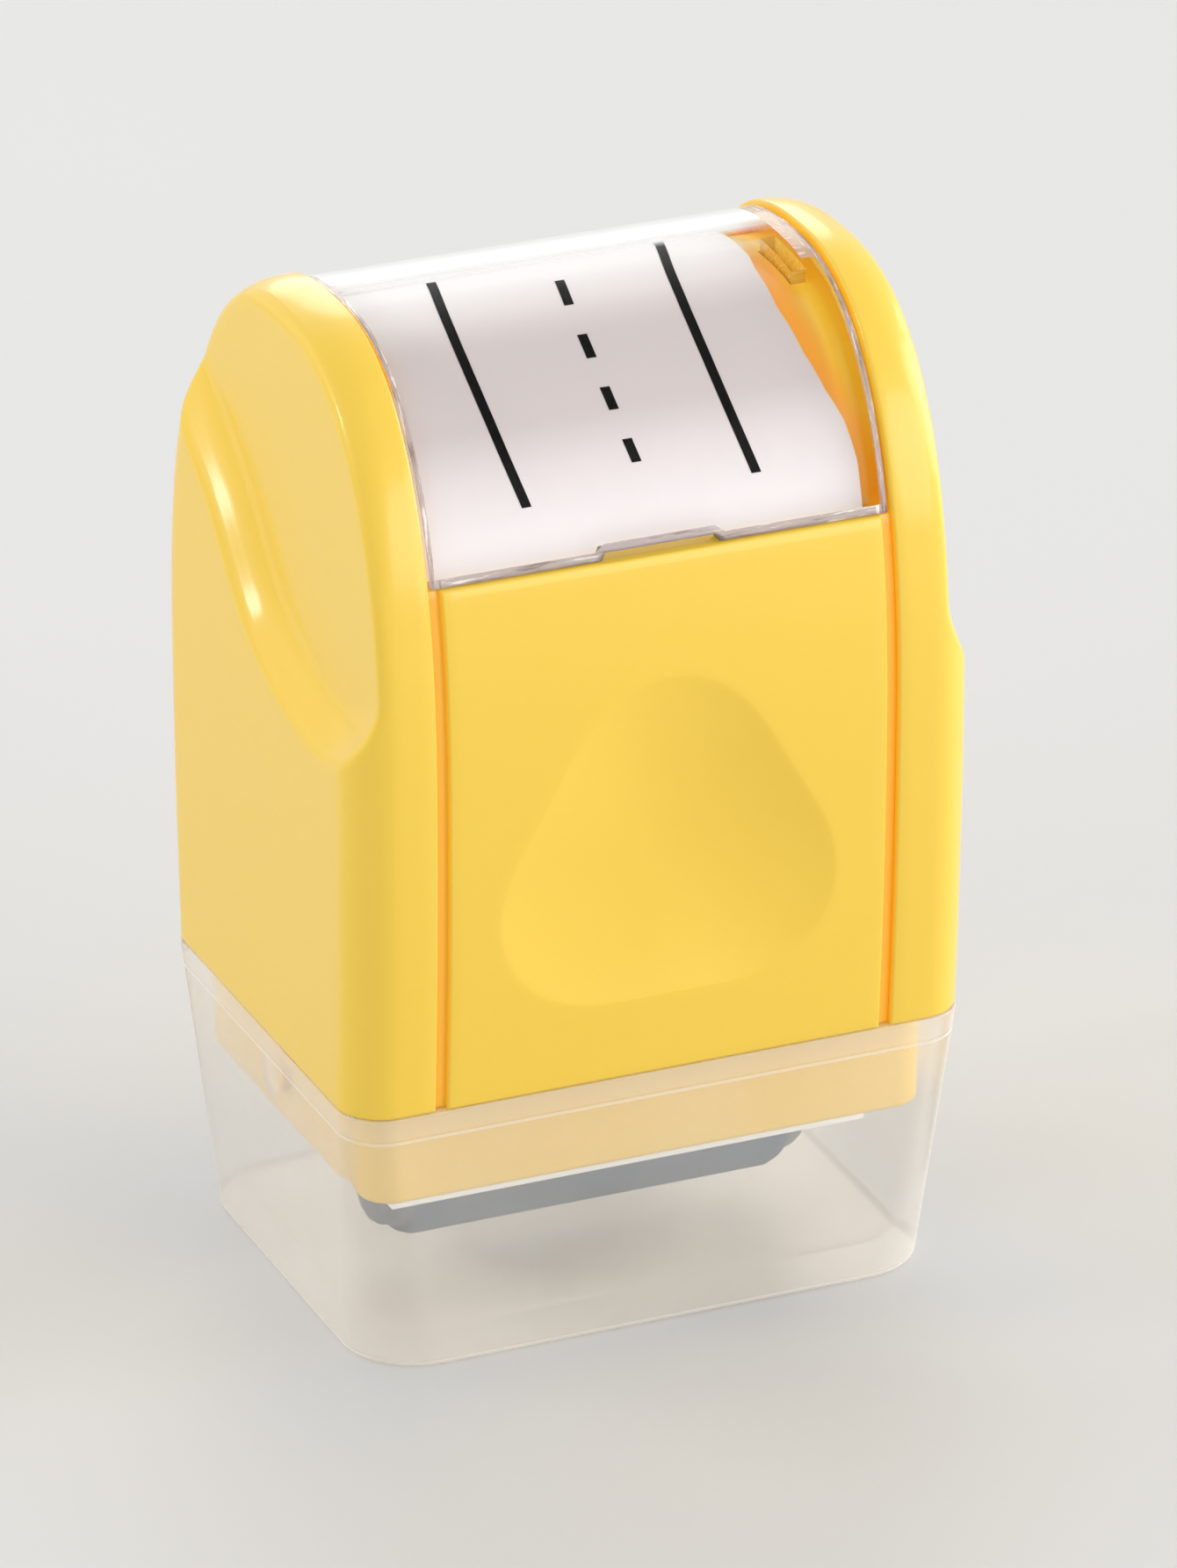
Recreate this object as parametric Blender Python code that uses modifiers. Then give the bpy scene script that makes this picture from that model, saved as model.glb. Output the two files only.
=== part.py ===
# Handwriting line roller stamp, standing on its closed cap.
# Metres, +Z up, +X along the rollers' axles, front face towards -Y.
# The sizes stack outwards from the print roller: cartridge, skirt, body, cap.

import math

import bmesh
import bpy

# Print roller and its line pattern
PRINT_RADIUS = 0.0090  # over the raised lines
ROLLER_LENGTH = 0.0350
LINE_HEIGHT = 0.0005  # how far the raised lines stand out of the die
LINE_WIDTH = 0.0007
LINE_SPACING = 0.0190  # between the two solid lines
DASH_COUNT = 12
DASH_SHARE = 0.42  # of one dash's pitch
DIE_WALL = 0.0010  # without the raised lines
DRUM_WALL = 0.0020
FLANGE_LENGTH = 0.0026
FLANGE_DROP = 0.0006  # from the raised lines to the end flanges' rim
FLANGE_SPIGOT = 0.0028
FLANGE_EDGE = 0.0005

# Ink roller
INK_RADIUS = 0.0075
INK_FOAM_WALL = 0.0034
INK_FOAM_SETBACK = 0.0023  # from each end of the roller
WASHER_RADIUS = 0.0055
WASHER_LENGTH = 0.0010
AXLE_RADIUS = 0.0012
AXLE_SEAT = 0.0010  # depth of the axle's blind bore in an end plate

# Ink cartridge
CAP_FLOOR = 0.0013
ROLLER_CLEARANCE = 0.0018  # print roller to the cap's floor
FRAME_WALL = 0.0012
FRAME_ROOM = 0.0016  # print roller to the frame's walls
LIP_BELOW_AXIS = 0.0012
LIP_HEIGHT = 0.0008
LIP_GAP = 0.0004  # print roller to the frame's lips
FRAME_HEADROOM = 0.0010  # ink roller to the frame's top
PLATE_WALL = 0.0015
PLATE_INSET = 0.0009  # how much narrower than the frame the end plates are
LUG_RADIUS = 0.0040  # round the print axle, at the foot of an end plate
LUG_FLARE = 0.0050  # height over which the plate widens above the print axle
TONGUE_WIDTH = 0.0060
HOOK_WIDTH = 0.0080
HOOK_HEIGHT = 0.0012

# Skirt
SKIRT_ABOVE_AXIS = 0.0018  # from the print axle to the skirt's bottom edge
SKIRT_EXPOSED = 0.0080  # height that the cap covers
SKIRT_HIDDEN = 0.0111  # height inside the body
SKIRT_WALL = 0.0014
SKIRT_RADIUS = 0.0025
SKIRT_ROOM = 0.0033  # cartridge to the skirt's front and back walls
SKIRT_FOOT_ROUND = 0.0008
LEDGE_REACH = 0.0015
LEDGE_WIDTH = 0.0100
LEDGE_HEIGHT = 0.0016
LEDGE_RISE = 0.0090  # from the skirt's bottom edge to the ledge's top
EAR_HEIGHT = 0.0020
SNAP_RADIUS = 0.0014
SNAP_DEPTH = 0.0006
SNAP_BELOW_BODY = 0.0044

# Screws that hold the skirt to the cheeks
SCREW_RADIUS = 0.0008
SCREW_HEAD_RADIUS = 0.0014
SCREW_HEAD_HEIGHT = 0.0010
SCREW_GRIP = 0.0060  # length inside a boss
BOSS_RADIUS = 0.0017
BOSS_RIB = 0.0010

# Body
SIDE_GAP = 0.0005  # skirt to the cheeks
PANEL_WALL = 0.0022
CHEEK_WALL = 0.0018
BODY_HEIGHT = 0.0583
STRAIGHT_HEIGHT = 0.0241  # from the body's bottom to where its arch springs
BARREL_DRAW = 0.0008  # how far the front and back draw in at the bottom
ARCH_POWER = 2.52
EDGE_RADIUS = 0.0036  # of the body's side edges, up to where the arch springs
TOP_EDGE_RADIUS = 0.0060  # the same at the arch's top
EDGE_GROWTH_POWER = 3
CHEEK_WIDTH = 0.0066
CHEEK_RIM = 0.0008  # thickness of a cheek's edge over the centre shell's flange
FLANGE_LAP = 0.0018  # how far that flange reaches under the cheek
GROOVE_WIDTH = 0.00095
CAVITY_HEIGHT = 0.0246  # of a cheek's wide lower hollow

# Centre shell
PANEL_HEIGHT = 0.0415  # from the body's bottom to the window's edge
PANEL_CHAMFER = 0.0004
DECK_WALL = 0.0014
STEP_HEIGHT = 0.0022
WEB_WALL = 0.0014
WEB_INSET = 0.0027  # from the panel's side edge
WEB_ABOVE_CARTRIDGE = 0.0016
PEG_RADIUS = 0.0014
PEG_SPACING = 0.0140
PEG_RISE = 0.0350
PEG_PAST_WEB = 0.0006

# Finger dents in the front and back panels
DENT_RADIUS = 0.0129
DENT_RISE = 0.0178
DENT_DEPTH = 0.0012
DENT_TRIANGLE_SHARE = 0.12

# Side scoops
SCOOP_DEPTH = 0.0023
SCOOP_RAMP = 0.0038
# The scoop's lower edge, back to front: shares of half the body's depth, and of its height.
SCOOP_EDGE_SHARES = [
    (1.14, 0.860), (0.81, 0.772), (0.44, 0.675), (0.08, 0.553),
    (-0.30, 0.494), (-0.62, 0.478), (-0.86, 0.494), (-1.14, 0.545),
]

# Window and label
WINDOW_DROP = 0.0004  # below the cheeks' surface
WINDOW_WALL = 0.0013
NOTCH_WIDTH = 0.0096
NOTCH_HEIGHT = 0.0011
NOTCH_SLOPE = 0.0006
LEG_WIDTH = 0.0056
LEG_WALL = 0.0012
LEG_INSET = 0.0009  # from the window's side edge
LEG_LENGTH = 0.0060
RIGHT_LEG_Y = -0.0021
LEFT_LEG_Y = 0.0078
LABEL_THICKNESS = 0.0003
LABEL_MARGIN = 0.0004
LABEL_RIGHT_MARGIN = 0.0013
LABEL_PAST_TOP = 0.0040
LABEL_TRIM = 0.0048  # how far the label's right side is cut back at the top
LABEL_TRIM_START = 0.0152  # from the arch's middle to the cut's front end

# Cap
CAP_WALL = 0.0011
CAP_RADIUS = 0.0033
CAP_TAPER_X = 0.0017
CAP_TAPER_Y = 0.0022
CAP_FOOT_ROUND = 0.0004
CAP_RIM_BAND = 0.0017  # height of the thicker rim
CAP_RIM_EXTRA = 0.0004
CAP_DIMPLE = 0.0003

# Fits
GAP = 0.0003  # between pieces that rest on each other
RUNNING_GAP = 0.00005  # radial, shaft in bore
CUT_OVERRUN = 0.0010
SEAT_OVERLAP = 0.0004  # how far a joined form reaches into the piece that carries it

# Facets
ARCH_STEPS = 12
STRAIGHT_STEPS = 4
EDGE_STEPS = 5
ROUND_STEPS = 5
SCOOP_STEPS = 3
TURN_STEPS = 40
BORE_STEPS = 20
DASH_STEPS = 3
DENT_RINGS = 4
DENT_STEPS = 36

# Heights, stacked up from the cap's floor
PRINT_AXIS_Z = CAP_FLOOR + ROLLER_CLEARANCE + PRINT_RADIUS
INK_AXIS_Z = PRINT_AXIS_Z + PRINT_RADIUS + GAP + INK_RADIUS
FRAME_BOTTOM_Z = PRINT_AXIS_Z - LIP_BELOW_AXIS
FRAME_TOP_Z = INK_AXIS_Z + INK_RADIUS + FRAME_HEADROOM + FRAME_WALL
SKIRT_BOTTOM_Z = PRINT_AXIS_Z + SKIRT_ABOVE_AXIS
LEDGE_TOP_Z = SKIRT_BOTTOM_Z + LEDGE_RISE
BODY_BOTTOM_Z = SKIRT_BOTTOM_Z + SKIRT_EXPOSED
SNAP_Z = BODY_BOTTOM_Z - SNAP_BELOW_BODY
SKIRT_TOP_Z = BODY_BOTTOM_Z + SKIRT_HIDDEN
BODY_TOP_Z = BODY_BOTTOM_Z + BODY_HEIGHT
SPRING_Z = BODY_BOTTOM_Z + STRAIGHT_HEIGHT
CAVITY_TOP_Z = BODY_BOTTOM_Z + CAVITY_HEIGHT
PANEL_TOP_Z = BODY_BOTTOM_Z + PANEL_HEIGHT
WINDOW_FOOT_Z = PANEL_TOP_Z + GAP
PEG_Z = BODY_BOTTOM_Z + PEG_RISE
CAP_TOP_Z = BODY_BOTTOM_Z - GAP

# Half widths, outwards from the rollers
ROLLER_END_X = ROLLER_LENGTH / 2
FRAME_END_X = ROLLER_END_X + GAP
PLATE_INNER_X = FRAME_END_X + GAP
PLATE_OUTER_X = PLATE_INNER_X + PLATE_WALL
SKIRT_INNER_X = PLATE_OUTER_X + GAP + LEDGE_REACH
SKIRT_OUTER_X = SKIRT_INNER_X + SKIRT_WALL
BODY_SIDE_X = SKIRT_OUTER_X + SIDE_GAP + CHEEK_WALL
CHEEK_RIM_X = BODY_SIDE_X - CHEEK_WIDTH
PANEL_SIDE_X = CHEEK_RIM_X - GROOVE_WIDTH
FLANGE_END_X = CHEEK_RIM_X + FLANGE_LAP
WINDOW_SIDE_X = CHEEK_RIM_X - GAP
LEG_OUTER_X = WINDOW_SIDE_X - LEG_INSET
WEB_OUTER_X = PANEL_SIDE_X - WEB_INSET
WEB_INNER_X = WEB_OUTER_X - WEB_WALL
SCOOP_FLOOR_X = BODY_SIDE_X - SCOOP_DEPTH
SCREW_X = SKIRT_INNER_X - GAP - SCREW_HEAD_RADIUS

# Half depths
FRAME_INNER_Y = PRINT_RADIUS + FRAME_ROOM
FRAME_OUTER_Y = FRAME_INNER_Y + FRAME_WALL
LIP_Y = PRINT_RADIUS + LIP_GAP
PLATE_SIDE_Y = FRAME_OUTER_Y - PLATE_INSET
SKIRT_INNER_Y = FRAME_OUTER_Y + SKIRT_ROOM
SKIRT_OUTER_Y = SKIRT_INNER_Y + SKIRT_WALL
SCREW_Y = SKIRT_INNER_Y - GAP - SCREW_HEAD_RADIUS
BODY_FOOT_Y = SKIRT_OUTER_Y + GAP + PANEL_WALL
BODY_FRONT_Y = BODY_FOOT_Y + BARREL_DRAW

# Depths below the body's surface
FLANGE_DEPTH = CHEEK_RIM + GAP
WINDOW_INSIDE = WINDOW_DROP + WINDOW_WALL
LABEL_DEPTH = WINDOW_INSIDE + GAP
LABEL_INSIDE = LABEL_DEPTH + LABEL_THICKNESS
DECK_DEPTH = LABEL_INSIDE + GAP
DECK_INSIDE = DECK_DEPTH + DECK_WALL

# Rollers, inwards from their surfaces
DIE_RADIUS = PRINT_RADIUS - LINE_HEIGHT
DIE_BORE = DIE_RADIUS - DIE_WALL
DRUM_RADIUS = DIE_BORE - GAP
DRUM_BORE = DRUM_RADIUS - DRUM_WALL
DRUM_END_X = ROLLER_END_X - FLANGE_LENGTH - GAP
SHAFT_BORE = AXLE_RADIUS + RUNNING_GAP
FOAM_BORE = INK_RADIUS - INK_FOAM_WALL
INK_CORE_RADIUS = FOAM_BORE - GAP
FOAM_END_X = ROLLER_END_X - INK_FOAM_SETBACK

SIDE_NAMES = {-1: "left", 1: "right"}
END_NAMES = {-1: "front", 1: "back"}


def clear_scene():
    for item in list(bpy.data.objects):
        bpy.data.objects.remove(item, do_unlink=True)


def make_collection(name):
    collection = bpy.data.collections.new(name)
    bpy.context.scene.collection.children.link(collection)
    return collection


def make_material(name, colour, roughness, metallic=0.0, transmission=0.0):
    material = bpy.data.materials.new(name)
    material.use_nodes = True
    shader = material.node_tree.nodes["Principled BSDF"]
    shader.inputs["Base Color"].default_value = (*colour, 1.0)
    shader.inputs["Roughness"].default_value = roughness
    shader.inputs["Metallic"].default_value = metallic
    shader.inputs["Transmission Weight"].default_value = transmission
    material.diffuse_color = (*colour, 1.0)
    return material


def add_object(name, form):
    """A new object from a closed bmesh, with its faces pointing out."""
    bmesh.ops.recalc_face_normals(form, faces=form.faces)
    mesh = bpy.data.meshes.new(name)
    form.to_mesh(mesh)
    form.free()
    mesh.shade_smooth()
    mesh.set_sharp_from_angle(angle=math.radians(35))
    return bpy.data.objects.new(name, mesh)


def piece(item, material):
    """Makes the object a visible piece of the stamp."""
    pieces.objects.link(item)
    item.data.materials.append(material)
    return item


def helper(item):
    """Makes the object a hidden cutter, or a form that is joined to a piece."""
    cutters.objects.link(item)
    item.hide_render = True
    item.display_type = "WIRE"
    return item


def combine(item, operation, others):
    for other in others:
        modifier = item.modifiers.new(f"{operation} {other.name}", "BOOLEAN")
        modifier.operation = operation
        modifier.object = helper(other)
        modifier.solver = "EXACT"


def cut(item, *others):
    combine(item, "DIFFERENCE", others)


def join(item, *others):
    combine(item, "UNION", others)


# Plain forms

def box(name, low, high, top_inset=0.0):
    """A box between two corners. top_inset narrows its top along X."""
    form = bmesh.new()
    bmesh.ops.create_cube(form, size=1.0)
    for vertex in form.verts:
        inset = top_inset if vertex.co.z > 0 else 0.0
        vertex.co.x = (low[0] + high[0]) / 2 + vertex.co.x * (high[0] - low[0] - 2 * inset)
        vertex.co.y = (low[1] + high[1]) / 2 + vertex.co.y * (high[1] - low[1])
        vertex.co.z = (low[2] + high[2]) / 2 + vertex.co.z * (high[2] - low[2])
    return add_object(name, form)


def cylinder(name, radius, low, high, across, axis="X"):
    """A cylinder from low to high along X or Z. across is its place on the other two axes."""
    form = bmesh.new()
    bmesh.ops.create_cone(
        form, cap_ends=True, segments=BORE_STEPS, radius1=radius, radius2=radius, depth=high - low
    )
    item = add_object(name, form)
    middle = (low + high) / 2
    if axis == "X":
        item.rotation_euler = (0, math.pi / 2, 0)
        item.location = (middle, across[0], across[1])
    else:
        item.location = (across[0], across[1], middle)
    return item


def turned(name, profile, axis_z, side=1):
    """A ring turned about an axle along X, from a closed profile of (radius, x) points.

    The points run towards -X on the outer side. side -1 makes the mirror image at the other end.
    """
    if side < 0:
        profile = [(radius, -along) for radius, along in reversed(profile)]
    form = bmesh.new()
    points = [form.verts.new((radius, 0, along)) for radius, along in profile]
    for first, second in zip(points, points[1:] + points[:1]):
        form.edges.new((first, second))
    mesh = bpy.data.meshes.new(name)
    form.to_mesh(mesh)
    form.free()
    item = bpy.data.objects.new(name, mesh)
    item.rotation_euler = (0, math.pi / 2, 0)
    item.location = (0, 0, axis_z)
    screw = item.modifiers.new("turn", "SCREW")
    screw.steps = TURN_STEPS
    screw.render_steps = TURN_STEPS
    screw.use_smooth_shade = True
    screw.use_merge_vertices = True
    screw.merge_threshold = RUNNING_GAP / 5
    return item


def tube(name, outer, inner, end_x, axis_z):
    return turned(name, [(outer, end_x), (outer, -end_x), (inner, -end_x), (inner, end_x)], axis_z)


def loft(name, rings, closed=False):
    """A solid through rings of as many points. closed joins the last to the first, else both are filled."""
    form = bmesh.new()
    loops = [[form.verts.new(point) for point in ring] for ring in rings]
    pairs = list(zip(loops, loops[1:]))
    if closed:
        pairs.append((loops[-1], loops[0]))
    for first, second in pairs:
        for i in range(len(first)):
            j = (i + 1) % len(first)
            form.faces.new((first[i], first[j], second[j], second[i]))
    if not closed:
        form.faces.new(loops[0])
        form.faces.new(loops[-1])
    return add_object(name, form)


def profile_loft(name, stations):
    """A solid along X through (x, outline) stations, whose outlines are (y, z) points."""
    return loft(name, [[(x, y, z) for y, z in outline] for x, outline in stations])


def between(first, second, share):
    return tuple(a + (b - a) * share for a, b in zip(first, second))


def smooth_line(marks, steps):
    """Points on a smooth curve through the marks."""
    ends = [between(marks[1], marks[0], 2), *marks, between(marks[-2], marks[-1], 2)]
    points = []
    for p0, p1, p2, p3 in zip(ends, ends[1:], ends[2:], ends[3:]):
        for i in range(steps):
            t = i / steps
            point = []
            for a, b, c, d in zip(p0, p1, p2, p3):
                curve = (d - a) / 2 + 1.5 * (b - c)
                point.append(b + t * ((c - a) / 2 + t * (a - 2.5 * b + 2 * c - d / 2 + t * curve)))
            points.append(tuple(point))
    return points + [tuple(marks[-1])]


def moved_in(line, insets):
    """An open (y, z) line moved to the right of its direction, by each point's own inset."""
    moved = []
    neighbours = zip(line[:1] + line, line, line[1:] + line[-1:], insets)
    for (y0, z0), (y, z), (y1, z1), inset in neighbours:
        length = math.hypot(y1 - y0, z1 - z0)
        moved.append((y + (z1 - z0) / length * inset, z - (y1 - y0) / length * inset))
    return moved


# The body's arch

def half_depth(z):
    """Half the body's depth at a height on its straight part."""
    drop = (SPRING_Z - z) / STRAIGHT_HEIGHT
    return BODY_FRONT_Y - BARREL_DRAW * drop**2


def front_curve(z_low):
    """(y, z) points up the body's front, from z_low to the middle of its top."""
    points = []
    for i in range(STRAIGHT_STEPS):
        z = z_low + (SPRING_Z - z_low) * i / STRAIGHT_STEPS
        points.append((-half_depth(z), z))
    for i in range(ARCH_STEPS):
        angle = math.pi / 2 * i / ARCH_STEPS
        across = math.cos(angle) ** (2 / ARCH_POWER)
        up = math.sin(angle) ** (2 / ARCH_POWER)
        points.append((-BODY_FRONT_Y * across, SPRING_Z + (BODY_TOP_Z - SPRING_Z) * up))
    return points + [(0, BODY_TOP_Z)]


def levelled(curve, insets):
    """A front curve moved into the body, still level at its foot and at the top's middle."""
    moved = moved_in(curve, insets)
    moved[0] = (moved[0][0], curve[0][1])
    moved[-1] = (0, curve[-1][1] - insets[-1])
    return moved


def inset_front(inset, z_low=BODY_BOTTOM_Z):
    """The front curve moved into the body by inset."""
    curve = front_curve(z_low)
    return levelled(curve, [inset] * len(curve))


def below(front, z_limit):
    """The part of a front curve below a height."""
    kept = [point for point in front if point[1] < z_limit]
    first, second = kept[-1], front[len(kept)]
    return kept + [between(first, second, (z_limit - first[1]) / (second[1] - first[1]))]


def above(front, z_limit):
    """The part of a front curve above a height."""
    kept = [point for point in front if point[1] > z_limit]
    first, second = front[-len(kept) - 1], kept[0]
    return [between(first, second, (z_limit - first[1]) / (second[1] - first[1]))] + kept


def both_sides(front):
    """The whole outline from its front half."""
    return front + [(-y, z) for y, z in reversed(front) if y < 0]


def up_to(arch, y_limit):
    """The part of an arch in front of a place."""
    kept = [point for point in arch if point[0] < y_limit]
    first, second = kept[-1], arch[len(kept)]
    return kept + [between(first, second, (y_limit - first[0]) / (second[0] - first[0]))]


def stretch(arch, y_low, y_high):
    """The part of an arch between two places from front to back."""
    front = [(-y, z) for y, z in reversed(up_to(arch, y_high))]
    return [(-y, z) for y, z in reversed(up_to(front, -y_low))]


def arch_solid(name, stations, z_low=BODY_BOTTOM_Z, z_high=None):
    """A solid of arch outlines along X. Each station is (x, inset)."""
    outlines = []
    for x, inset in stations:
        front = inset_front(inset, z_low)
        if z_high is not None:
            front = below(front, z_high)
        outlines.append((x, both_sides(front)))
    return profile_loft(name, outlines)


def rounded_stations(side, x_start, x_end, inset, radius):
    """Stations from x_start to x_end, with the far edge rounded."""
    stations = [(side * x_start, inset)]
    for i in range(EDGE_STEPS + 1):
        angle = math.pi / 2 * i / EDGE_STEPS
        x = x_end - radius + radius * math.sin(angle)
        stations.append((side * x, inset + radius - radius * math.cos(angle)))
    return stations


# Cheeks

def cheek_block(name, side):
    """A cheek's outside. Its outer edge is rounded, and rounder up the arch."""
    curve = front_curve(BODY_BOTTOM_Z)
    arch_height = BODY_TOP_Z - SPRING_Z
    growth = [(max(z - SPRING_Z, 0) / arch_height) ** EDGE_GROWTH_POWER for y, z in curve]
    radii = [EDGE_RADIUS + (TOP_EDGE_RADIUS - EDGE_RADIUS) * share for share in growth]
    rings = [[(side * CHEEK_RIM_X, y, z) for y, z in both_sides(curve)]]
    for i in range(EDGE_STEPS + 1):
        angle = math.pi / 2 * i / EDGE_STEPS
        moved = levelled(curve, [radius * (1 - math.cos(angle)) for radius in radii])
        xs = [side * (BODY_SIDE_X - radius * (1 - math.sin(angle))) for radius in radii]
        front = [(x, y, z) for x, (y, z) in zip(xs, moved)]
        rings.append(front + [(x, -y, z) for x, y, z in reversed(front) if y < 0])
    return loft(f"{name}_cheek", rings)


def scoop_cutter(side):
    """Everything outside the scoop's floor and above its ramp."""
    marks = [
        (across * BODY_FRONT_Y, BODY_BOTTOM_Z + up * BODY_HEIGHT) for across, up in SCOOP_EDGE_SHARES
    ]
    edge = smooth_line(marks, SCOOP_STEPS)
    roof_z = BODY_TOP_Z + CUT_OVERRUN
    stations = []
    for i in range(EDGE_STEPS + 1):
        share = i / EDGE_STEPS
        stations.append((SCOOP_FLOOR_X + SCOOP_DEPTH * share**2, SCOOP_RAMP * (1 - share)))
    stations.append((BODY_SIDE_X + CUT_OVERRUN, -CUT_OVERRUN))
    rings = []
    for x, offset in stations:
        outline = moved_in(edge, [offset] * len(edge)) + [(edge[-1][0], roof_z), (edge[0][0], roof_z)]
        rings.append((side * x, outline))
    return profile_loft(f"scoop_{SIDE_NAMES[side]}", rings)


def make_cheek(side):
    name = SIDE_NAMES[side]
    cheek = piece(cheek_block(name, side), yellow)
    foot_z = BODY_BOTTOM_Z - CUT_OVERRUN
    pocket_end = FLANGE_END_X + GAP
    pocket = arch_solid(
        f"pocket_{name}",
        [(side * (CHEEK_RIM_X - CUT_OVERRUN), CHEEK_RIM), (side * pocket_end, CHEEK_RIM)],
        foot_z,
    )
    inside = rounded_stations(
        side, CHEEK_RIM_X, BODY_SIDE_X - CHEEK_WALL, CHEEK_WALL, EDGE_RADIUS - CHEEK_WALL
    )
    hollow = arch_solid(f"hollow_{name}", inside, foot_z, CAVITY_TOP_Z)
    cut(cheek, pocket, hollow, scoop_cutter(side))
    for y_side in (-1, 1):
        place = f"{name}_{END_NAMES[y_side]}"
        screw = (side * SCREW_X, y_side * SCREW_Y)
        boss_foot_z = SKIRT_TOP_Z + GAP
        boss_top_z = CAVITY_TOP_Z + SEAT_OVERLAP
        boss = cylinder(f"boss_{place}", BOSS_RADIUS, boss_foot_z, boss_top_z, screw, "Z")
        ends = sorted((screw[0], side * (BODY_SIDE_X - CHEEK_WALL + SEAT_OVERLAP)))
        rib = box(
            f"rib_{place}",
            (ends[0], screw[1] - BOSS_RIB / 2, boss_foot_z),
            (ends[1], screw[1] + BOSS_RIB / 2, boss_top_z),
        )
        ends = sorted((side * (WEB_INNER_X - PEG_PAST_WEB), side * (pocket_end + SEAT_OVERLAP)))
        peg = cylinder(f"peg_{place}", PEG_RADIUS, *ends, (y_side * PEG_SPACING / 2, PEG_Z))
        pilot = cylinder(
            f"pilot_{place}", SCREW_RADIUS + RUNNING_GAP,
            boss_foot_z - CUT_OVERRUN, boss_foot_z + SCREW_GRIP, screw, "Z",
        )
        join(cheek, boss, rib, peg)
        cut(cheek, pilot)


# Centre shell

def shell_outline(inset):
    """The centre shell's section: its panels moved in by inset, the step and the deck."""
    step_z = PANEL_TOP_Z - STEP_HEIGHT
    outside = below(inset_front(inset), PANEL_TOP_Z) + above(inset_front(DECK_DEPTH), PANEL_TOP_Z)
    inside = below(inset_front(PANEL_WALL), step_z) + above(inset_front(DECK_INSIDE), step_z)
    return both_sides(outside) + both_sides(inside)[::-1]


def web_outline():
    """Fills the inside of the centre shell above the cartridge."""
    foot_z = FRAME_TOP_Z + WEB_ABOVE_CARTRIDGE
    step_z = PANEL_TOP_Z - STEP_HEIGHT + SEAT_OVERLAP
    lower = below(above(inset_front(PANEL_WALL - SEAT_OVERLAP), foot_z), step_z)
    return both_sides(lower + above(inset_front(DECK_INSIDE - SEAT_OVERLAP), step_z))


def dent_cutter(y_side):
    """A shallow bowl whose rim is a circle drawn out a little towards three corners."""
    middle_z = BODY_BOTTOM_Z + DENT_RISE
    rings = []
    for ring in range(1, DENT_RINGS + 2):
        share = ring / DENT_RINGS
        depth = DENT_DEPTH * (1 - share**2)
        points = []
        for i in range(DENT_STEPS):
            angle = 2 * math.pi * i / DENT_STEPS
            corners = 1 + DENT_TRIANGLE_SHARE * math.cos(3 * (angle - math.pi / 2))
            reach = share * DENT_RADIUS * corners
            z = middle_z + reach * math.sin(angle)
            points.append((reach * math.cos(angle), y_side * (half_depth(z) - depth), z))
        rings.append(points)
    return loft(f"dent_{END_NAMES[y_side]}", rings)


def make_centre_shell():
    chamfer_x = PANEL_SIDE_X - PANEL_CHAMFER
    shell = piece(
        profile_loft("centre_shell", [
            (-PANEL_SIDE_X, shell_outline(PANEL_CHAMFER)),
            (-chamfer_x, shell_outline(0.0)),
            (chamfer_x, shell_outline(0.0)),
            (PANEL_SIDE_X, shell_outline(PANEL_CHAMFER)),
        ]),
        yellow,
    )
    flange = shell_outline(FLANGE_DEPTH)
    join(shell, profile_loft("flanges", [(-FLANGE_END_X, flange), (FLANGE_END_X, flange)]))
    for side in (-1, 1):
        outline = web_outline()
        ends = [(side * WEB_INNER_X, outline), (side * WEB_OUTER_X, outline)]
        join(shell, profile_loft(f"web_{SIDE_NAMES[side]}", ends))
    for y_side in (-1, 1):
        across = (y_side * PEG_SPACING / 2, PEG_Z)
        holes = f"peg_holes_{END_NAMES[y_side]}"
        cut(shell, cylinder(holes, PEG_RADIUS + GAP, -PANEL_SIDE_X, PANEL_SIDE_X, across))
        cut(shell, dent_cutter(y_side))
    for side in (-1, 1):
        low, high = leg_box(side)
        slot = box(
            f"leg_slot_{SIDE_NAMES[side]}",
            (low[0] - GAP, low[1] - GAP, low[2]),
            (high[0] + GAP, high[1] + GAP, high[2]),
        )
        cut(shell, slot)


# Window and label

def leg_box(side):
    """The low and high corners round the window's snap leg at one side."""
    leg_y = RIGHT_LEG_Y if side > 0 else LEFT_LEG_Y
    x_low, x_high = sorted((side * (LEG_OUTER_X - LEG_WALL), side * LEG_OUTER_X))
    low = (x_low, leg_y - LEG_WIDTH / 2, BODY_TOP_Z - WINDOW_INSIDE - LEG_LENGTH)
    return low, (x_high, leg_y + LEG_WIDTH / 2, BODY_TOP_Z)


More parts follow.
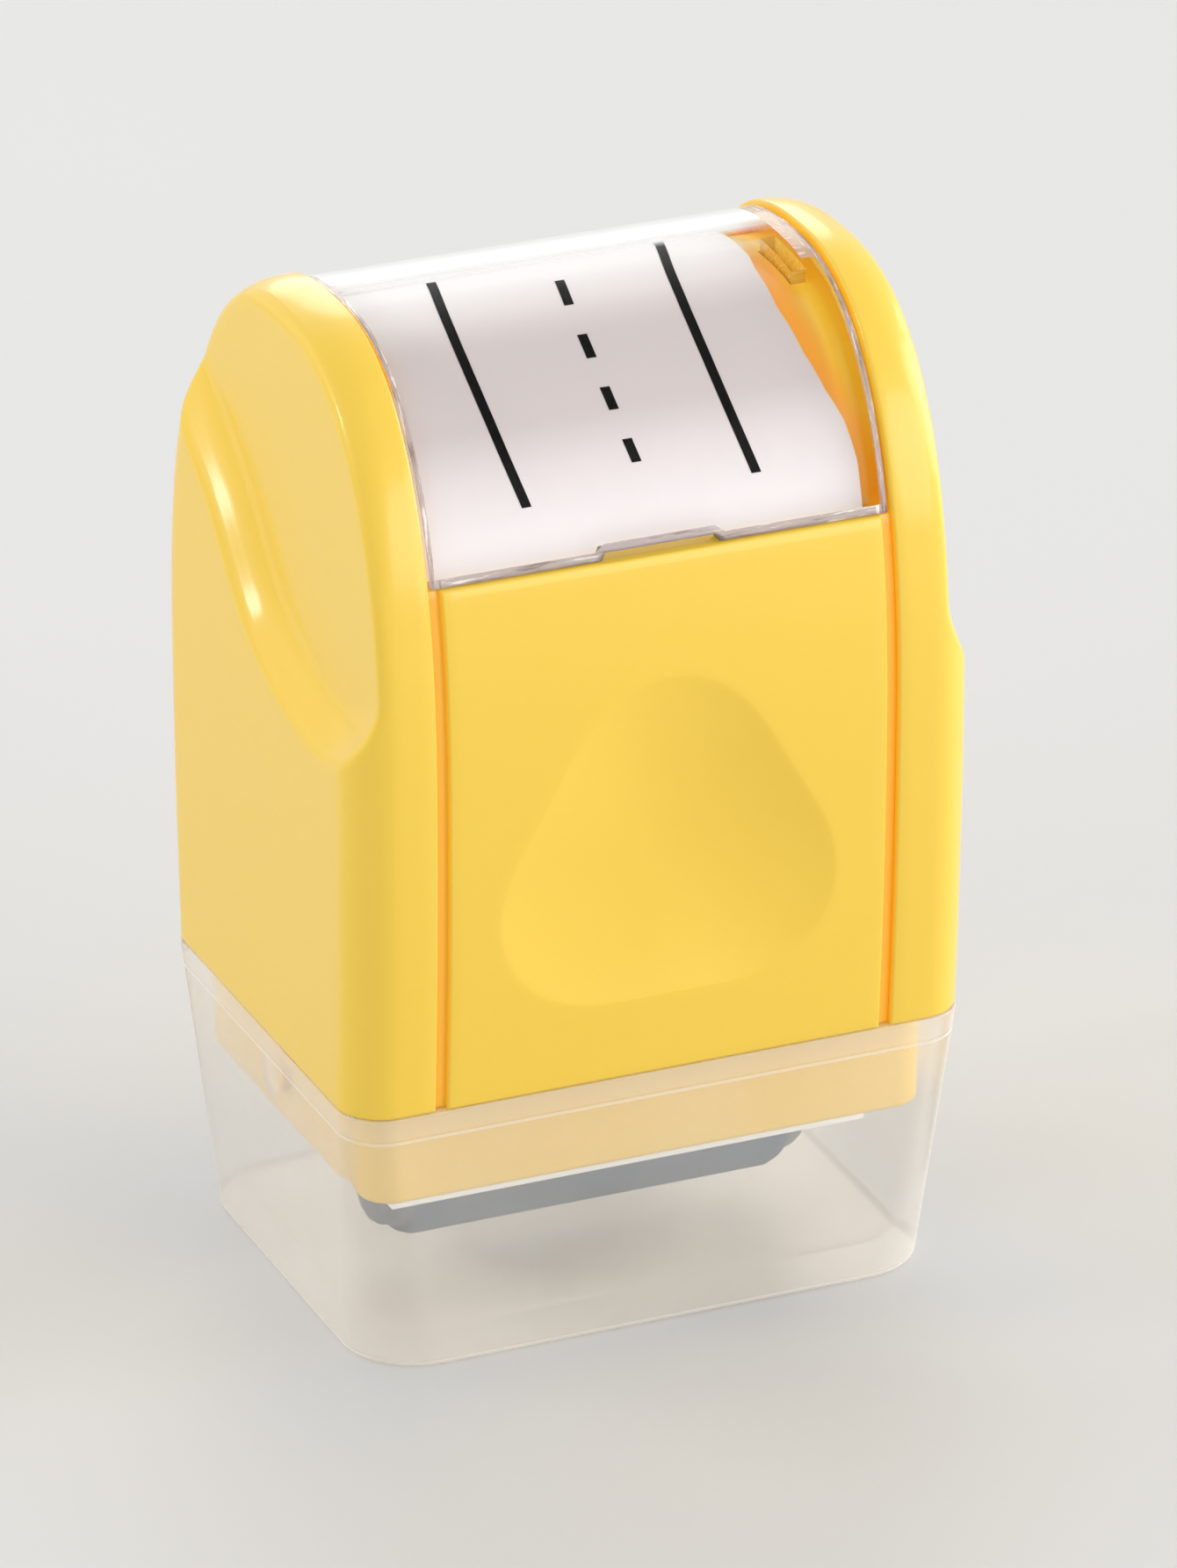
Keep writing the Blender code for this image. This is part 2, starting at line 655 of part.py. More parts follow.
def make_window():
    outside = above(inset_front(WINDOW_DROP), WINDOW_FOOT_Z)
    inside = above(inset_front(WINDOW_INSIDE), WINDOW_FOOT_Z)
    outline = both_sides(outside) + both_sides(inside)[::-1]
    ends = [(-WINDOW_SIDE_X, outline), (WINDOW_SIDE_X, outline)]
    window = piece(profile_loft("window", ends), clear)
    notch_x = NOTCH_WIDTH / 2 + NOTCH_SLOPE
    notch = box(
        "pry_notch",
        (-notch_x, -BODY_FRONT_Y, WINDOW_FOOT_Z - CUT_OVERRUN),
        (notch_x, 0, WINDOW_FOOT_Z + NOTCH_HEIGHT),
        2 * NOTCH_SLOPE,
    )
    cut(window, notch)
    arch = both_sides(above(inset_front(WINDOW_INSIDE - SEAT_OVERLAP), WINDOW_FOOT_Z))
    for side in (-1, 1):
        low, high = leg_box(side)
        outline = stretch(arch, low[1], high[1]) + [(high[1], low[2]), (low[1], low[2])]
        ends = [(low[0], outline), (high[0], outline)]
        join(window, profile_loft(f"leg_{SIDE_NAMES[side]}", ends))


def make_label():
    foot_z = WINDOW_FOOT_Z + LABEL_MARGIN
    top = up_to(both_sides(above(inset_front(LABEL_DEPTH), foot_z)), LABEL_PAST_TOP)
    bottom = up_to(both_sides(above(inset_front(LABEL_INSIDE), foot_z)), LABEL_PAST_TOP)
    outline = top + bottom[::-1]
    right_x = WINDOW_SIDE_X - LABEL_RIGHT_MARGIN
    ends = [(LABEL_MARGIN - WINDOW_SIDE_X, outline), (right_x, outline)]
    label = piece(profile_loft("label", ends), paper)
    # The right side is cut back towards the top, clear of the window's leg.
    rings = []
    for z in (PANEL_TOP_Z, BODY_TOP_Z):
        rings.append([
            (right_x, -LABEL_TRIM_START, z),
            (right_x - LABEL_TRIM, 0, z),
            (right_x - LABEL_TRIM, BODY_FRONT_Y, z),
            (right_x + CUT_OVERRUN, BODY_FRONT_Y, z),
            (right_x + CUT_OVERRUN, -LABEL_TRIM_START, z),
        ])
    cut(label, loft("label_trim", rings))


# Skirt, screws and cap

def rounded_rectangle(half_x, half_y, radius, z):
    points = []
    for side_x, side_y, start in ((1, -1, 270), (1, 1, 0), (-1, 1, 90), (-1, -1, 180)):
        for i in range(ROUND_STEPS + 1):
            angle = math.radians(start + 90 * i / ROUND_STEPS)
            x = side_x * (half_x - radius) + radius * math.cos(angle)
            y = side_y * (half_y - radius) + radius * math.sin(angle)
            points.append((x, y, z))
    return points


def foot_round(radius):
    """(inset, height) pairs up a rounded bottom edge."""
    angles = [math.pi / 2 * i / 3 for i in range(4)]
    return [(radius * (1 - math.sin(angle)), radius * (1 - math.cos(angle))) for angle in angles]


def make_skirt():
    rings = []
    for inset, rise in foot_round(SKIRT_FOOT_ROUND):
        rings.append(rounded_rectangle(
            SKIRT_OUTER_X - inset, SKIRT_OUTER_Y - inset, SKIRT_RADIUS - inset, SKIRT_BOTTOM_Z + rise
        ))
    rings.append(rounded_rectangle(SKIRT_OUTER_X, SKIRT_OUTER_Y, SKIRT_RADIUS, SKIRT_TOP_Z))
    for z in (SKIRT_TOP_Z, SKIRT_BOTTOM_Z):
        rings.append(rounded_rectangle(SKIRT_INNER_X, SKIRT_INNER_Y, SKIRT_RADIUS - SKIRT_WALL, z))
    skirt = piece(loft("skirt", rings, closed=True), yellow)
    for side in (-1, 1):
        name = SIDE_NAMES[side]
        ends = sorted((side * (SKIRT_INNER_X - LEDGE_REACH), side * (SKIRT_INNER_X + SEAT_OVERLAP)))
        ledge = box(
            f"ledge_{name}",
            (ends[0], -LEDGE_WIDTH / 2, LEDGE_TOP_Z - LEDGE_HEIGHT),
            (ends[1], LEDGE_WIDTH / 2, LEDGE_TOP_Z),
        )
        ends = sorted((side * (SKIRT_OUTER_X - SEAT_OVERLAP), side * (SKIRT_OUTER_X + SNAP_DEPTH)))
        snap = cylinder(f"snap_{name}", SNAP_RADIUS, *ends, (0, SNAP_Z))
        join(skirt, ledge, snap)
        for y_side in (-1, 1):
            place = f"{name}_{END_NAMES[y_side]}"
            ear_x = (side * (SCREW_X - SCREW_HEAD_RADIUS), side * (SKIRT_INNER_X + SEAT_OVERLAP))
            ear_y = (y_side * (SCREW_Y - SCREW_HEAD_RADIUS), y_side * (SKIRT_INNER_Y + SEAT_OVERLAP))
            ear = box(
                f"ear_{place}",
                (min(ear_x), min(ear_y), SKIRT_TOP_Z - EAR_HEIGHT),
                (max(ear_x), max(ear_y), SKIRT_TOP_Z),
            )
            hole = cylinder(
                f"screw_hole_{place}", SCREW_RADIUS + RUNNING_GAP,
                SKIRT_TOP_Z - EAR_HEIGHT - CUT_OVERRUN, SKIRT_TOP_Z + CUT_OVERRUN,
                (side * SCREW_X, y_side * SCREW_Y), "Z",
            )
            join(skirt, ear)
            cut(skirt, hole)


def make_screws():
    head_z = SKIRT_TOP_Z - EAR_HEIGHT - GAP
    tip_z = SKIRT_TOP_Z + SCREW_GRIP
    places = [(side, y_side) for side in (-1, 1) for y_side in (-1, 1)]
    for number, (side, y_side) in enumerate(places, 1):
        across = (side * SCREW_X, y_side * SCREW_Y)
        shank = cylinder(
            f"skirt_screw_{number}", SCREW_RADIUS, head_z - SEAT_OVERLAP, tip_z, across, "Z"
        )
        head = cylinder(
            f"screw_head_{number}", SCREW_HEAD_RADIUS, head_z - SCREW_HEAD_HEIGHT, head_z, across, "Z"
        )
        join(piece(shank, steel), head)


def cap_ring(z, inset):
    """The cap's outline at a height, moved in by inset."""
    taper = 1 - z / CAP_TOP_Z
    half_x = BODY_SIDE_X - CAP_TAPER_X * taper - inset
    half_y = BODY_FOOT_Y - CAP_TAPER_Y * taper - inset
    return rounded_rectangle(half_x, half_y, CAP_RADIUS - inset, z)


def make_cap():
    rim_wall = CAP_WALL + CAP_RIM_EXTRA
    band_z = CAP_TOP_Z - CAP_RIM_BAND
    rings = [cap_ring(rise, inset) for inset, rise in foot_round(CAP_FOOT_ROUND)]
    rings += [
        cap_ring(CAP_TOP_Z, 0.0),
        cap_ring(CAP_TOP_Z, rim_wall),
        cap_ring(band_z, rim_wall),
        cap_ring(band_z - CAP_RIM_EXTRA, CAP_WALL),
        cap_ring(CAP_FLOOR + CAP_RIM_EXTRA, CAP_WALL),
        cap_ring(CAP_FLOOR, rim_wall),
    ]
    cap = piece(loft("cap", rings), frosted)
    wall_x = max(x for x, y, z in cap_ring(SNAP_Z, CAP_WALL))
    for side in (-1, 1):
        ends = sorted((side * (wall_x - CAP_WALL), side * (wall_x + CAP_DIMPLE)))
        cut(cap, cylinder(f"cap_dimple_{SIDE_NAMES[side]}", SNAP_RADIUS + GAP, *ends, (0, SNAP_Z)))


# Ink cartridge

def make_cartridge_frame():
    lip_top_z = FRAME_BOTTOM_Z + LIP_HEIGHT
    outside = [
        (-LIP_Y, lip_top_z), (-LIP_Y, FRAME_BOTTOM_Z),
        (-FRAME_OUTER_Y, FRAME_BOTTOM_Z), (-FRAME_OUTER_Y, FRAME_TOP_Z),
    ]
    inside = [(-FRAME_INNER_Y, lip_top_z), (-FRAME_INNER_Y, FRAME_TOP_Z - FRAME_WALL)]
    outline = both_sides(outside) + both_sides(inside)[::-1]
    ends = [(-FRAME_END_X, outline), (FRAME_END_X, outline)]
    frame = piece(profile_loft("cartridge_frame", ends), white)
    tongues = box(
        "tongues",
        (-PLATE_OUTER_X, -TONGUE_WIDTH / 2, FRAME_TOP_Z - FRAME_WALL),
        (PLATE_OUTER_X, TONGUE_WIDTH / 2, FRAME_TOP_Z),
    )
    join(frame, tongues)


def make_cartridge_end(side):
    """A plate that carries both axles and hooks over the skirt's ledge."""
    name = SIDE_NAMES[side]
    outline = []
    for i in range(BORE_STEPS // 2 + 1):
        angle = math.pi * (1 + i / (BORE_STEPS // 2))
        y = LUG_RADIUS * math.cos(angle)
        outline.append((y, PRINT_AXIS_Z + LUG_RADIUS * math.sin(angle)))
    outline += [
        (PLATE_SIDE_Y, PRINT_AXIS_Z + LUG_FLARE), (PLATE_SIDE_Y, FRAME_TOP_Z),
        (-PLATE_SIDE_Y, FRAME_TOP_Z), (-PLATE_SIDE_Y, PRINT_AXIS_Z + LUG_FLARE),
    ]
    ends = [(side * PLATE_INNER_X, outline), (side * PLATE_OUTER_X, outline)]
    plate = piece(profile_loft(f"cartridge_end_{name}", ends), white)
    ends = sorted((side * (PLATE_INNER_X - CUT_OVERRUN), side * (PLATE_OUTER_X + CUT_OVERRUN)))
    slot = box(
        f"tongue_slot_{name}",
        (ends[0], -TONGUE_WIDTH / 2 - GAP, FRAME_TOP_Z - FRAME_WALL - GAP),
        (ends[1], TONGUE_WIDTH / 2 + GAP, FRAME_TOP_Z + CUT_OVERRUN),
    )
    cut(plate, slot)
    ends = sorted((side * (PLATE_OUTER_X - SEAT_OVERLAP), side * (PLATE_OUTER_X + LEDGE_REACH)))
    hook = box(
        f"hook_{name}",
        (ends[0], -HOOK_WIDTH / 2, LEDGE_TOP_Z + GAP),
        (ends[1], HOOK_WIDTH / 2, LEDGE_TOP_Z + GAP + HOOK_HEIGHT),
    )
    join(plate, hook)
    for axle, axis_z in (("print", PRINT_AXIS_Z), ("ink", INK_AXIS_Z)):
        ends = sorted((side * (PLATE_INNER_X - CUT_OVERRUN), side * (PLATE_INNER_X + AXLE_SEAT)))
        cut(plate, cylinder(f"{axle}_seat_{name}", SHAFT_BORE, *ends, (0, axis_z)))


def make_axle(name, axis_z):
    end_x = PLATE_INNER_X + AXLE_SEAT - GAP
    piece(cylinder(name, AXLE_RADIUS, -end_x, end_x, (0, axis_z)), steel)


# Rollers

def dashes():
    """The broken middle line: a curved block for each dash."""
    form = bmesh.new()
    foot = DIE_RADIUS - SEAT_OVERLAP
    section = [
        (foot, -LINE_WIDTH / 2), (PRINT_RADIUS, -LINE_WIDTH / 2),
        (PRINT_RADIUS, LINE_WIDTH / 2), (foot, LINE_WIDTH / 2),
    ]
    for number in range(DASH_COUNT):
        loops = []
        for i in range(DASH_STEPS + 1):
            angle = 2 * math.pi / DASH_COUNT * (number + DASH_SHARE * (i / DASH_STEPS - 1 / 2))
            loops.append([
                form.verts.new((x, radius * math.sin(angle), PRINT_AXIS_Z + radius * math.cos(angle)))
                for radius, x in section
            ])
        for first, second in zip(loops, loops[1:]):
            for i in range(len(section)):
                j = (i + 1) % len(section)
                form.faces.new((first[i], first[j], second[j], second[i]))
        form.faces.new(loops[0])
        form.faces.new(loops[-1])
    return add_object("dashes", form)


def make_print_roller():
    profile = [(DIE_RADIUS, DRUM_END_X)]
    for line_x in (LINE_SPACING / 2, -LINE_SPACING / 2):
        for edge_x, radii in (
            (line_x + LINE_WIDTH / 2, (DIE_RADIUS, PRINT_RADIUS)),
            (line_x - LINE_WIDTH / 2, (PRINT_RADIUS, DIE_RADIUS)),
        ):
            profile += [(radius, edge_x) for radius in radii]
    profile += [(DIE_RADIUS, -DRUM_END_X), (DIE_BORE, -DRUM_END_X), (DIE_BORE, DRUM_END_X)]
    die = piece(turned("print_die", profile, PRINT_AXIS_Z), rubber)
    join(die, dashes())
    piece(tube("print_drum", DRUM_RADIUS, DRUM_BORE, DRUM_END_X, PRINT_AXIS_Z), grey)

    rim = PRINT_RADIUS - FLANGE_DROP
    inner_x = ROLLER_END_X - FLANGE_LENGTH
    spigot = DRUM_BORE - GAP
    flange = [
        (SHAFT_BORE, ROLLER_END_X), (rim - FLANGE_EDGE, ROLLER_END_X), (rim, ROLLER_END_X - FLANGE_EDGE),
        (rim, inner_x), (spigot, inner_x), (spigot, inner_x - FLANGE_SPIGOT),
        (SHAFT_BORE, inner_x - FLANGE_SPIGOT),
    ]
    for side in (-1, 1):
        piece(turned(f"print_flange_{SIDE_NAMES[side]}", flange, PRINT_AXIS_Z, side), grey)


def make_ink_roller():
    piece(tube("ink_core", INK_CORE_RADIUS, SHAFT_BORE, ROLLER_END_X, INK_AXIS_Z), grey)
    piece(tube("ink_foam", INK_RADIUS, FOAM_BORE, FOAM_END_X, INK_AXIS_Z), felt)
    inner_x = FOAM_END_X + GAP
    outer_x = inner_x + WASHER_LENGTH
    bore = INK_CORE_RADIUS + GAP
    washer = [(WASHER_RADIUS, outer_x), (WASHER_RADIUS, inner_x), (bore, inner_x), (bore, outer_x)]
    for side in (-1, 1):
        piece(turned(f"ink_washer_{SIDE_NAMES[side]}", washer, INK_AXIS_Z, side), grey)


clear_scene()
pieces = make_collection("roller_stamp")
cutters = make_collection("cutters")

yellow = make_material("yellow plastic", (0.90, 0.62, 0.11), 0.35)
clear = make_material("clear plastic", (0.97, 0.97, 0.97), 0.05, transmission=1.0)
frosted = make_material("frosted plastic", (0.72, 0.69, 0.66), 0.45, transmission=0.6)
paper = make_material("label paper", (0.88, 0.86, 0.86), 0.6)
white = make_material("white plastic", (0.86, 0.86, 0.84), 0.4)
grey = make_material("grey plastic", (0.30, 0.33, 0.36), 0.5)
rubber = make_material("die rubber", (0.28, 0.32, 0.35), 0.6)
felt = make_material("ink foam", (0.03, 0.03, 0.04), 0.9)
steel = make_material("steel", (0.60, 0.60, 0.60), 0.3, metallic=1.0)

make_cap()
make_centre_shell()
make_window()
make_label()
make_skirt()
make_screws()
make_cartridge_frame()
for end in (-1, 1):
    make_cheek(end)
    make_cartridge_end(end)
make_axle("print_axle", PRINT_AXIS_Z)
make_axle("ink_axle", INK_AXIS_Z)
make_print_roller()
make_ink_roller()
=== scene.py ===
import bisect
import math

import bmesh
import bpy
from mathutils import Matrix, Vector, kdtree, noise


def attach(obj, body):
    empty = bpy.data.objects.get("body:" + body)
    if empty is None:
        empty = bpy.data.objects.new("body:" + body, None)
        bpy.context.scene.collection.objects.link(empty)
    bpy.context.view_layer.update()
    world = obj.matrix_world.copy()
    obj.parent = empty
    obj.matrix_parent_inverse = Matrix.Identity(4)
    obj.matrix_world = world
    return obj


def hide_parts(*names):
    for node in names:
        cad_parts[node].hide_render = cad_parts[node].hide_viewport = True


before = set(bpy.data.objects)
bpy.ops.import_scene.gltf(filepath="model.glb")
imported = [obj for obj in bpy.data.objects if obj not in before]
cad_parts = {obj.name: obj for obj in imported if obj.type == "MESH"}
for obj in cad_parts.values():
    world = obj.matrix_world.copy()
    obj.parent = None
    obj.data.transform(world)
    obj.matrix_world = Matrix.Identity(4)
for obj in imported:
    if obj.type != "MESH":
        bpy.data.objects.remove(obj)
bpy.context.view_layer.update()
scene = bpy.context.scene
millimetre = 0.001
sides = {"left": -1, "right": 1}


# Trees of nodes, for the materials and for Geometry Nodes

class Wire:
    # one output in a tree; arithmetic on it adds Math nodes
    def __init__(self, graph, socket):
        self.graph, self.socket = graph, socket

    def also(self, name):  # another output of the same node
        return Wire(self.graph, self.socket.node.outputs[name])

    def sum(self, operation, first, second=0.0):
        values = {0: first, 1: second}
        return self.graph.node("ShaderNodeMath", {"operation": operation}, values)

    def __add__(self, other):
        return self.sum("ADD", self, other)

    def __sub__(self, other):
        return self.sum("SUBTRACT", self, other)

    def __rsub__(self, other):
        return self.sum("SUBTRACT", other, self)

    def __mul__(self, other):
        return self.sum("MULTIPLY", self, other)

    def __rtruediv__(self, other):
        return self.sum("DIVIDE", other, self)

    def __mod__(self, other):
        return self.sum("MODULO", self, other)

    def __pow__(self, other):
        return self.sum("POWER", self, other)

    def above(self, other):
        return self.sum("GREATER_THAN", self, other)

    def most(self, other):
        return self.sum("MAXIMUM", self, other)

    def least(self, other):
        return self.sum("MINIMUM", self, other)

    __radd__, __rmul__ = __add__, __mul__


class Graph:
    def __init__(self, tree, material=None):
        self.tree, self.material = tree, material

    def node(self, kind, settings=None, values=None, out=0):
        fresh = self.tree.nodes.new(kind)
        for name, value in (settings or {}).items():
            if name != "stops":
                setattr(fresh, name, value)
                continue
            ramp = fresh.color_ramp
            while len(ramp.elements) < len(value):
                ramp.elements.new(0.5)
            for element, (place, colour) in zip(ramp.elements, value):
                element.position = place
                element.color = (*colour, 1.0)
        for key, value in (values or {}).items():
            socket = fresh.inputs[key]
            if isinstance(value, Wire):
                self.tree.links.new(value.socket, socket)
            else:
                socket.default_value = (*value, 1.0) if socket.type == "RGBA" else value
        return Wire(self, fresh.outputs[out]) if len(fresh.outputs) else None

    def blend(self, share, first, second):  # colours
        values = {0: share, 6: first, 7: second}
        return self.node("ShaderNodeMix", {"data_type": "RGBA"}, values, 2)

    def spread(self, wire, low, high):  # a 0 to 1 value between two others
        return wire * (high - low) + low

    def within(self, value, low, high, way="SMOOTHSTEP"):  # 0 at low, 1 at high
        values = {"Value": value, "From Min": low, "From Max": high}
        return self.node("ShaderNodeMapRange", {"interpolation_type": way}, values)

    def ramp(self, share, stops):
        return self.node("ShaderNodeValToRGB", {"stops": stops}, {0: share})

    def place(self, axis=None):  # where a point of the piece lies, or one coordinate of it
        spot = self.node("ShaderNodeTexCoord", out="Object")
        return self.node("ShaderNodeSeparateXYZ", values={0: spot}, out=axis) if axis else spot

    def painted(self, name):
        return self.node("ShaderNodeAttribute", {"attribute_name": name}, out="Fac")

    def facing(self):
        return self.node("ShaderNodeLayerWeight", values={"Blend": 0.5}, out="Facing")

    def grain(self, size, detail=2.0, stretch=(1.0, 1.0, 1.0), rough=0.5):
        # noise whose features are about size millimetres across
        return self.node("ShaderNodeTexNoise", values={
            "Vector": self.node("ShaderNodeMapping", values={0: self.place(), 3: stretch}),
            "Scale": 1 / (size * millimetre), "Detail": detail, "Roughness": rough,
        })

    def relief(self, height, strength, depth):
        values = {"Strength": strength, "Distance": depth * millimetre, "Height": height}
        return self.node("ShaderNodeBump", values=values)

    def skin(self, colour, rough, relief, more=None):
        values = {"Base Color": colour, "Roughness": rough, "Normal": relief, **(more or {})}
        return self.node("ShaderNodeBsdfPrincipled", values=values)

    def vector(self, **parts):
        return self.node("ShaderNodeCombineXYZ", values=parts)

    def mix(self, share, first, second):  # shaders
        return self.node("ShaderNodeMixShader", values={0: share, 1: first, 2: second})

    def done(self, surface):
        self.node("ShaderNodeOutputMaterial", values={"Surface": surface})
        return self.material

    def passLamps(self, surface, tint):
        # lets the lamps' light through, so that what is behind the plastic is lit
        shadow = self.node("ShaderNodeLightPath", out="Is Shadow Ray")
        passing = self.node("ShaderNodeBsdfTransparent", values={"Color": tint})
        return self.done(self.mix(shadow, surface, passing))


def newLook(name):
    material = bpy.data.materials.new(name)
    material.use_nodes = True
    material.node_tree.nodes.clear()
    return Graph(material.node_tree, material)


def newTree(name, inlet, outlet, inputs):
    # a Geometry Nodes tree with its named inputs, and the identifier of each
    tree = bpy.data.node_groups.new(name, "GeometryNodeTree")
    face, keys = tree.interface, {}
    face.new_socket(inlet, in_out="INPUT", socket_type="NodeSocketGeometry")
    for label, kind in inputs.items():
        socket = face.new_socket(label, in_out="INPUT", socket_type=f"NodeSocket{kind}")
        keys[label] = socket.identifier
    face.new_socket(outlet, in_out="OUTPUT", socket_type="NodeSocketGeometry")
    graph = Graph(tree)
    return graph, graph.node("NodeGroupInput"), keys


def endTree(graph, geometry, material):
    real = graph.node("GeometryNodeRealizeInstances", values={"Geometry": geometry})
    values = {"Geometry": real, "Material": material}
    graph.node("NodeGroupOutput", values={0: graph.node("GeometryNodeSetMaterial", values=values)})


def runTree(item, tree, keys, values):
    change = item.modifiers.new("tree", "NODES")
    change.node_group = tree
    for label, value in values.items():
        change[keys[label]] = value
    return bake(item)


# each finish's gap is a painted shade colour and its glow the colour of a painted glow
finishes = {
    "yellowPlastic": {
        "light": (0.985, 0.667, 0.060), "deep": (0.965, 0.634, 0.046), "rough": 0.38, "cloud": 24.0,
        "grain": 0.22, "relief": 0.0022, "coat": 0.6, "gap": (1.0, 0.38, 0.0),
        "glow": (1.0, 0.56, 0.006)},
    "whitePlastic": {
        "light": (0.90, 0.90, 0.885), "deep": (0.85, 0.85, 0.83), "rough": 0.38, "cloud": 12.0,
        "grain": 0.25, "relief": 0.003, "coat": 0.0, "gap": (0.85, 0.85, 0.83),
        "glow": (1.0, 1.0, 1.0)},
    "greyPlastic": {
        "light": (0.075, 0.120, 0.170), "deep": (0.055, 0.095, 0.140), "rough": 0.45, "cloud": 9.0,
        "grain": 0.20, "relief": 0.004, "coat": 0.0, "gap": (0.055, 0.095, 0.140),
        "glow": (1.0, 1.0, 1.0)},
}


def mouldedPlastic(name):
    # gap blends in a painted shade colour and glow adds a painted glow, in grooves, beside the
    # label and on the wiper lip
    finish, graph = finishes[name], newLook(name)
    cloud, grain = graph.grain(finish["cloud"], 3.0), graph.grain(finish["grain"])
    speck, rough = graph.grain(finish["grain"] * 9, 3.0), finish["rough"]
    share = (cloud * 1.5 - 0.25) * 0.7 + speck * 0.3
    tone = graph.blend(share, finish["deep"], finish["light"])
    # painted shade where gap is painted
    tone = graph.blend(graph.painted("gap"), tone, finish["gap"])
    wear = graph.spread(speck * 0.6 + cloud * 0.4, rough - 0.06, rough + 0.06)
    return graph.done(graph.skin(tone, wear, graph.relief(grain, 0.6, finish["relief"]), {
        "IOR": 1.5, "Coat Weight": finish["coat"], "Coat Roughness": 0.15,
        # painted glow where glow is painted
        "Emission Color": graph.blend(graph.painted("glow"), (0.0, 0.0, 0.0), finish["glow"]),
        "Emission Strength": 0.22,
    }))


clearFinish = {"tint": (0.985, 0.982, 0.978), "rough": 0.02, "ior": 1.03, "gloss": 0.03,
               "smear": 14.0, "sheen": (0.82, 0.815, 0.81), "sheenFrom": 0.62, "sheenTo": 0.72}


def clearPlastic():
    # a thin clear wall: light goes nearly straight through, and the gloss is a coat
    f, graph = clearFinish, newLook("clearPlastic")
    smear = graph.grain(f["smear"], 3.0, (1.0, 0.35, 0.35))
    relief = graph.relief(graph.grain(5.0, 1.0), 0.3, 0.004)
    wall = graph.skin(f["tint"], graph.spread(smear, 0.0, f["rough"] * 2), relief, {
        "IOR": f["ior"], "Transmission Weight": 1.0, "Coat Weight": f["gloss"],
        "Coat Roughness": 0.12, "Coat IOR": 1.5,
    })
    sheen = graph.skin(f["sheen"], graph.spread(smear, 0.25, 0.35), relief)
    grazing = graph.within(graph.facing(), f["sheenFrom"], f["sheenTo"])
    return graph.passLamps(graph.mix(grazing, wall, sheen), (0.98, 0.975, 0.97))


# edge looks: deep, light and bright tones of painted light streaks
edgeFinish = {
    "clearEdge": {"light": (0.56, 0.47, 0.45), "deep": (0.30, 0.23, 0.21),
                  "bright": (0.97, 0.93, 0.92), "milk": 0.78},
    "clearLeg": {"light": (0.99, 0.70, 0.12), "deep": (0.98, 0.62, 0.07),
                 "bright": (1.0, 0.76, 0.25), "milk": 0.90},
    "clearRoot": {"light": (0.62, 0.49, 0.41), "deep": (0.52, 0.40, 0.32),
                  "bright": (1.0, 0.96, 0.93), "milk": 0.60},
}
edgeStreak = {"ior": 1.03, "across": 0.30, "footStretch": (0.08, 0.9, 0.9), "sideX": 17.3,
              "sideStretch": (1.2, 0.10, 0.10), "patch": 3.5, "line": (0.17, 0.12, 0.11),
              "legZ": (75.6, 76.6), "legLow": (0.93, 0.92, 0.90), "legMilk": 0.35}


def clearEdge(name):
    # the cut edges of the clear wall, with streaks of gathered light painted into their colour
    f, finish, graph = edgeStreak, edgeFinish[name], newLook(name)
    x = graph.place("X")
    onSide = x.sum("ABSOLUTE", x).above(f["sideX"] * millimetre)
    alongFoot = graph.grain(f["across"], 4.0, f["footStretch"], 0.6)
    alongSide = graph.grain(f["across"], 4.0, f["sideStretch"], 0.6)
    streak = alongFoot * (1.0 - onSide) + alongSide * onSide
    share = streak * (2.6 + onSide) - 0.80 - onSide * 0.5 + (graph.grain(f["patch"]) - 0.5) * 0.8
    share = share.most(0.0).least(1.0)
    tone = graph.ramp(share, [(0.0, finish["deep"]), (0.35, finish["light"]),
                              (0.72, finish["light"]), (0.92, finish["bright"])])
    # a dark line painted along the window's lower edge, deepest in the notch as painted shade
    tone = graph.blend(graph.painted("gap"), tone, f["line"])
    milky = share * 0.3 + finish["milk"] - 0.15
    if name == "clearLeg":
        # only a leg's root is painted the yellow of the deck seen around it
        lowZ, highZ = f["legZ"]
        root = graph.within(graph.place("Z"), lowZ * millimetre, highZ * millimetre, "LINEAR")
        tone = graph.blend(root, f["legLow"], tone)
        milky = milky * graph.spread(root, f["legMilk"], 1.0)
    relief = graph.relief(streak, 0.8, 0.03)
    clear = graph.skin(tone, graph.spread(streak, 0.05, 0.25), relief, {
        "IOR": f["ior"], "Transmission Weight": 1.0, "Coat Weight": 0.8, "Coat Roughness": 0.08,
    })
    milk = graph.skin(tone, graph.spread(streak, 0.15, 0.35), relief)
    return graph.passLamps(graph.mix(milky, clear, milk), (0.95, 0.94, 0.93))


frostFinish = {
    "tint": (0.994, 0.987, 0.974), "milk": (0.95, 0.905, 0.84), "milkDeep": (0.93, 0.875, 0.80),
    "rough": 0.07, "ior": 1.05, "gloss": 0.5, "rimZ": 20.1, "lineZ": (19.70, 19.95), "footZ": 0.55,
    "grain": 0.3, "cloud": 11.0,
    # how milky: everywhere, more at a slant, on the rim, and on the rim's step and the foot
    "outside": (0.30, 0.34, 0.10, 0.28), "inside": (0.02, 0.04, 0.0, 0.0),
}


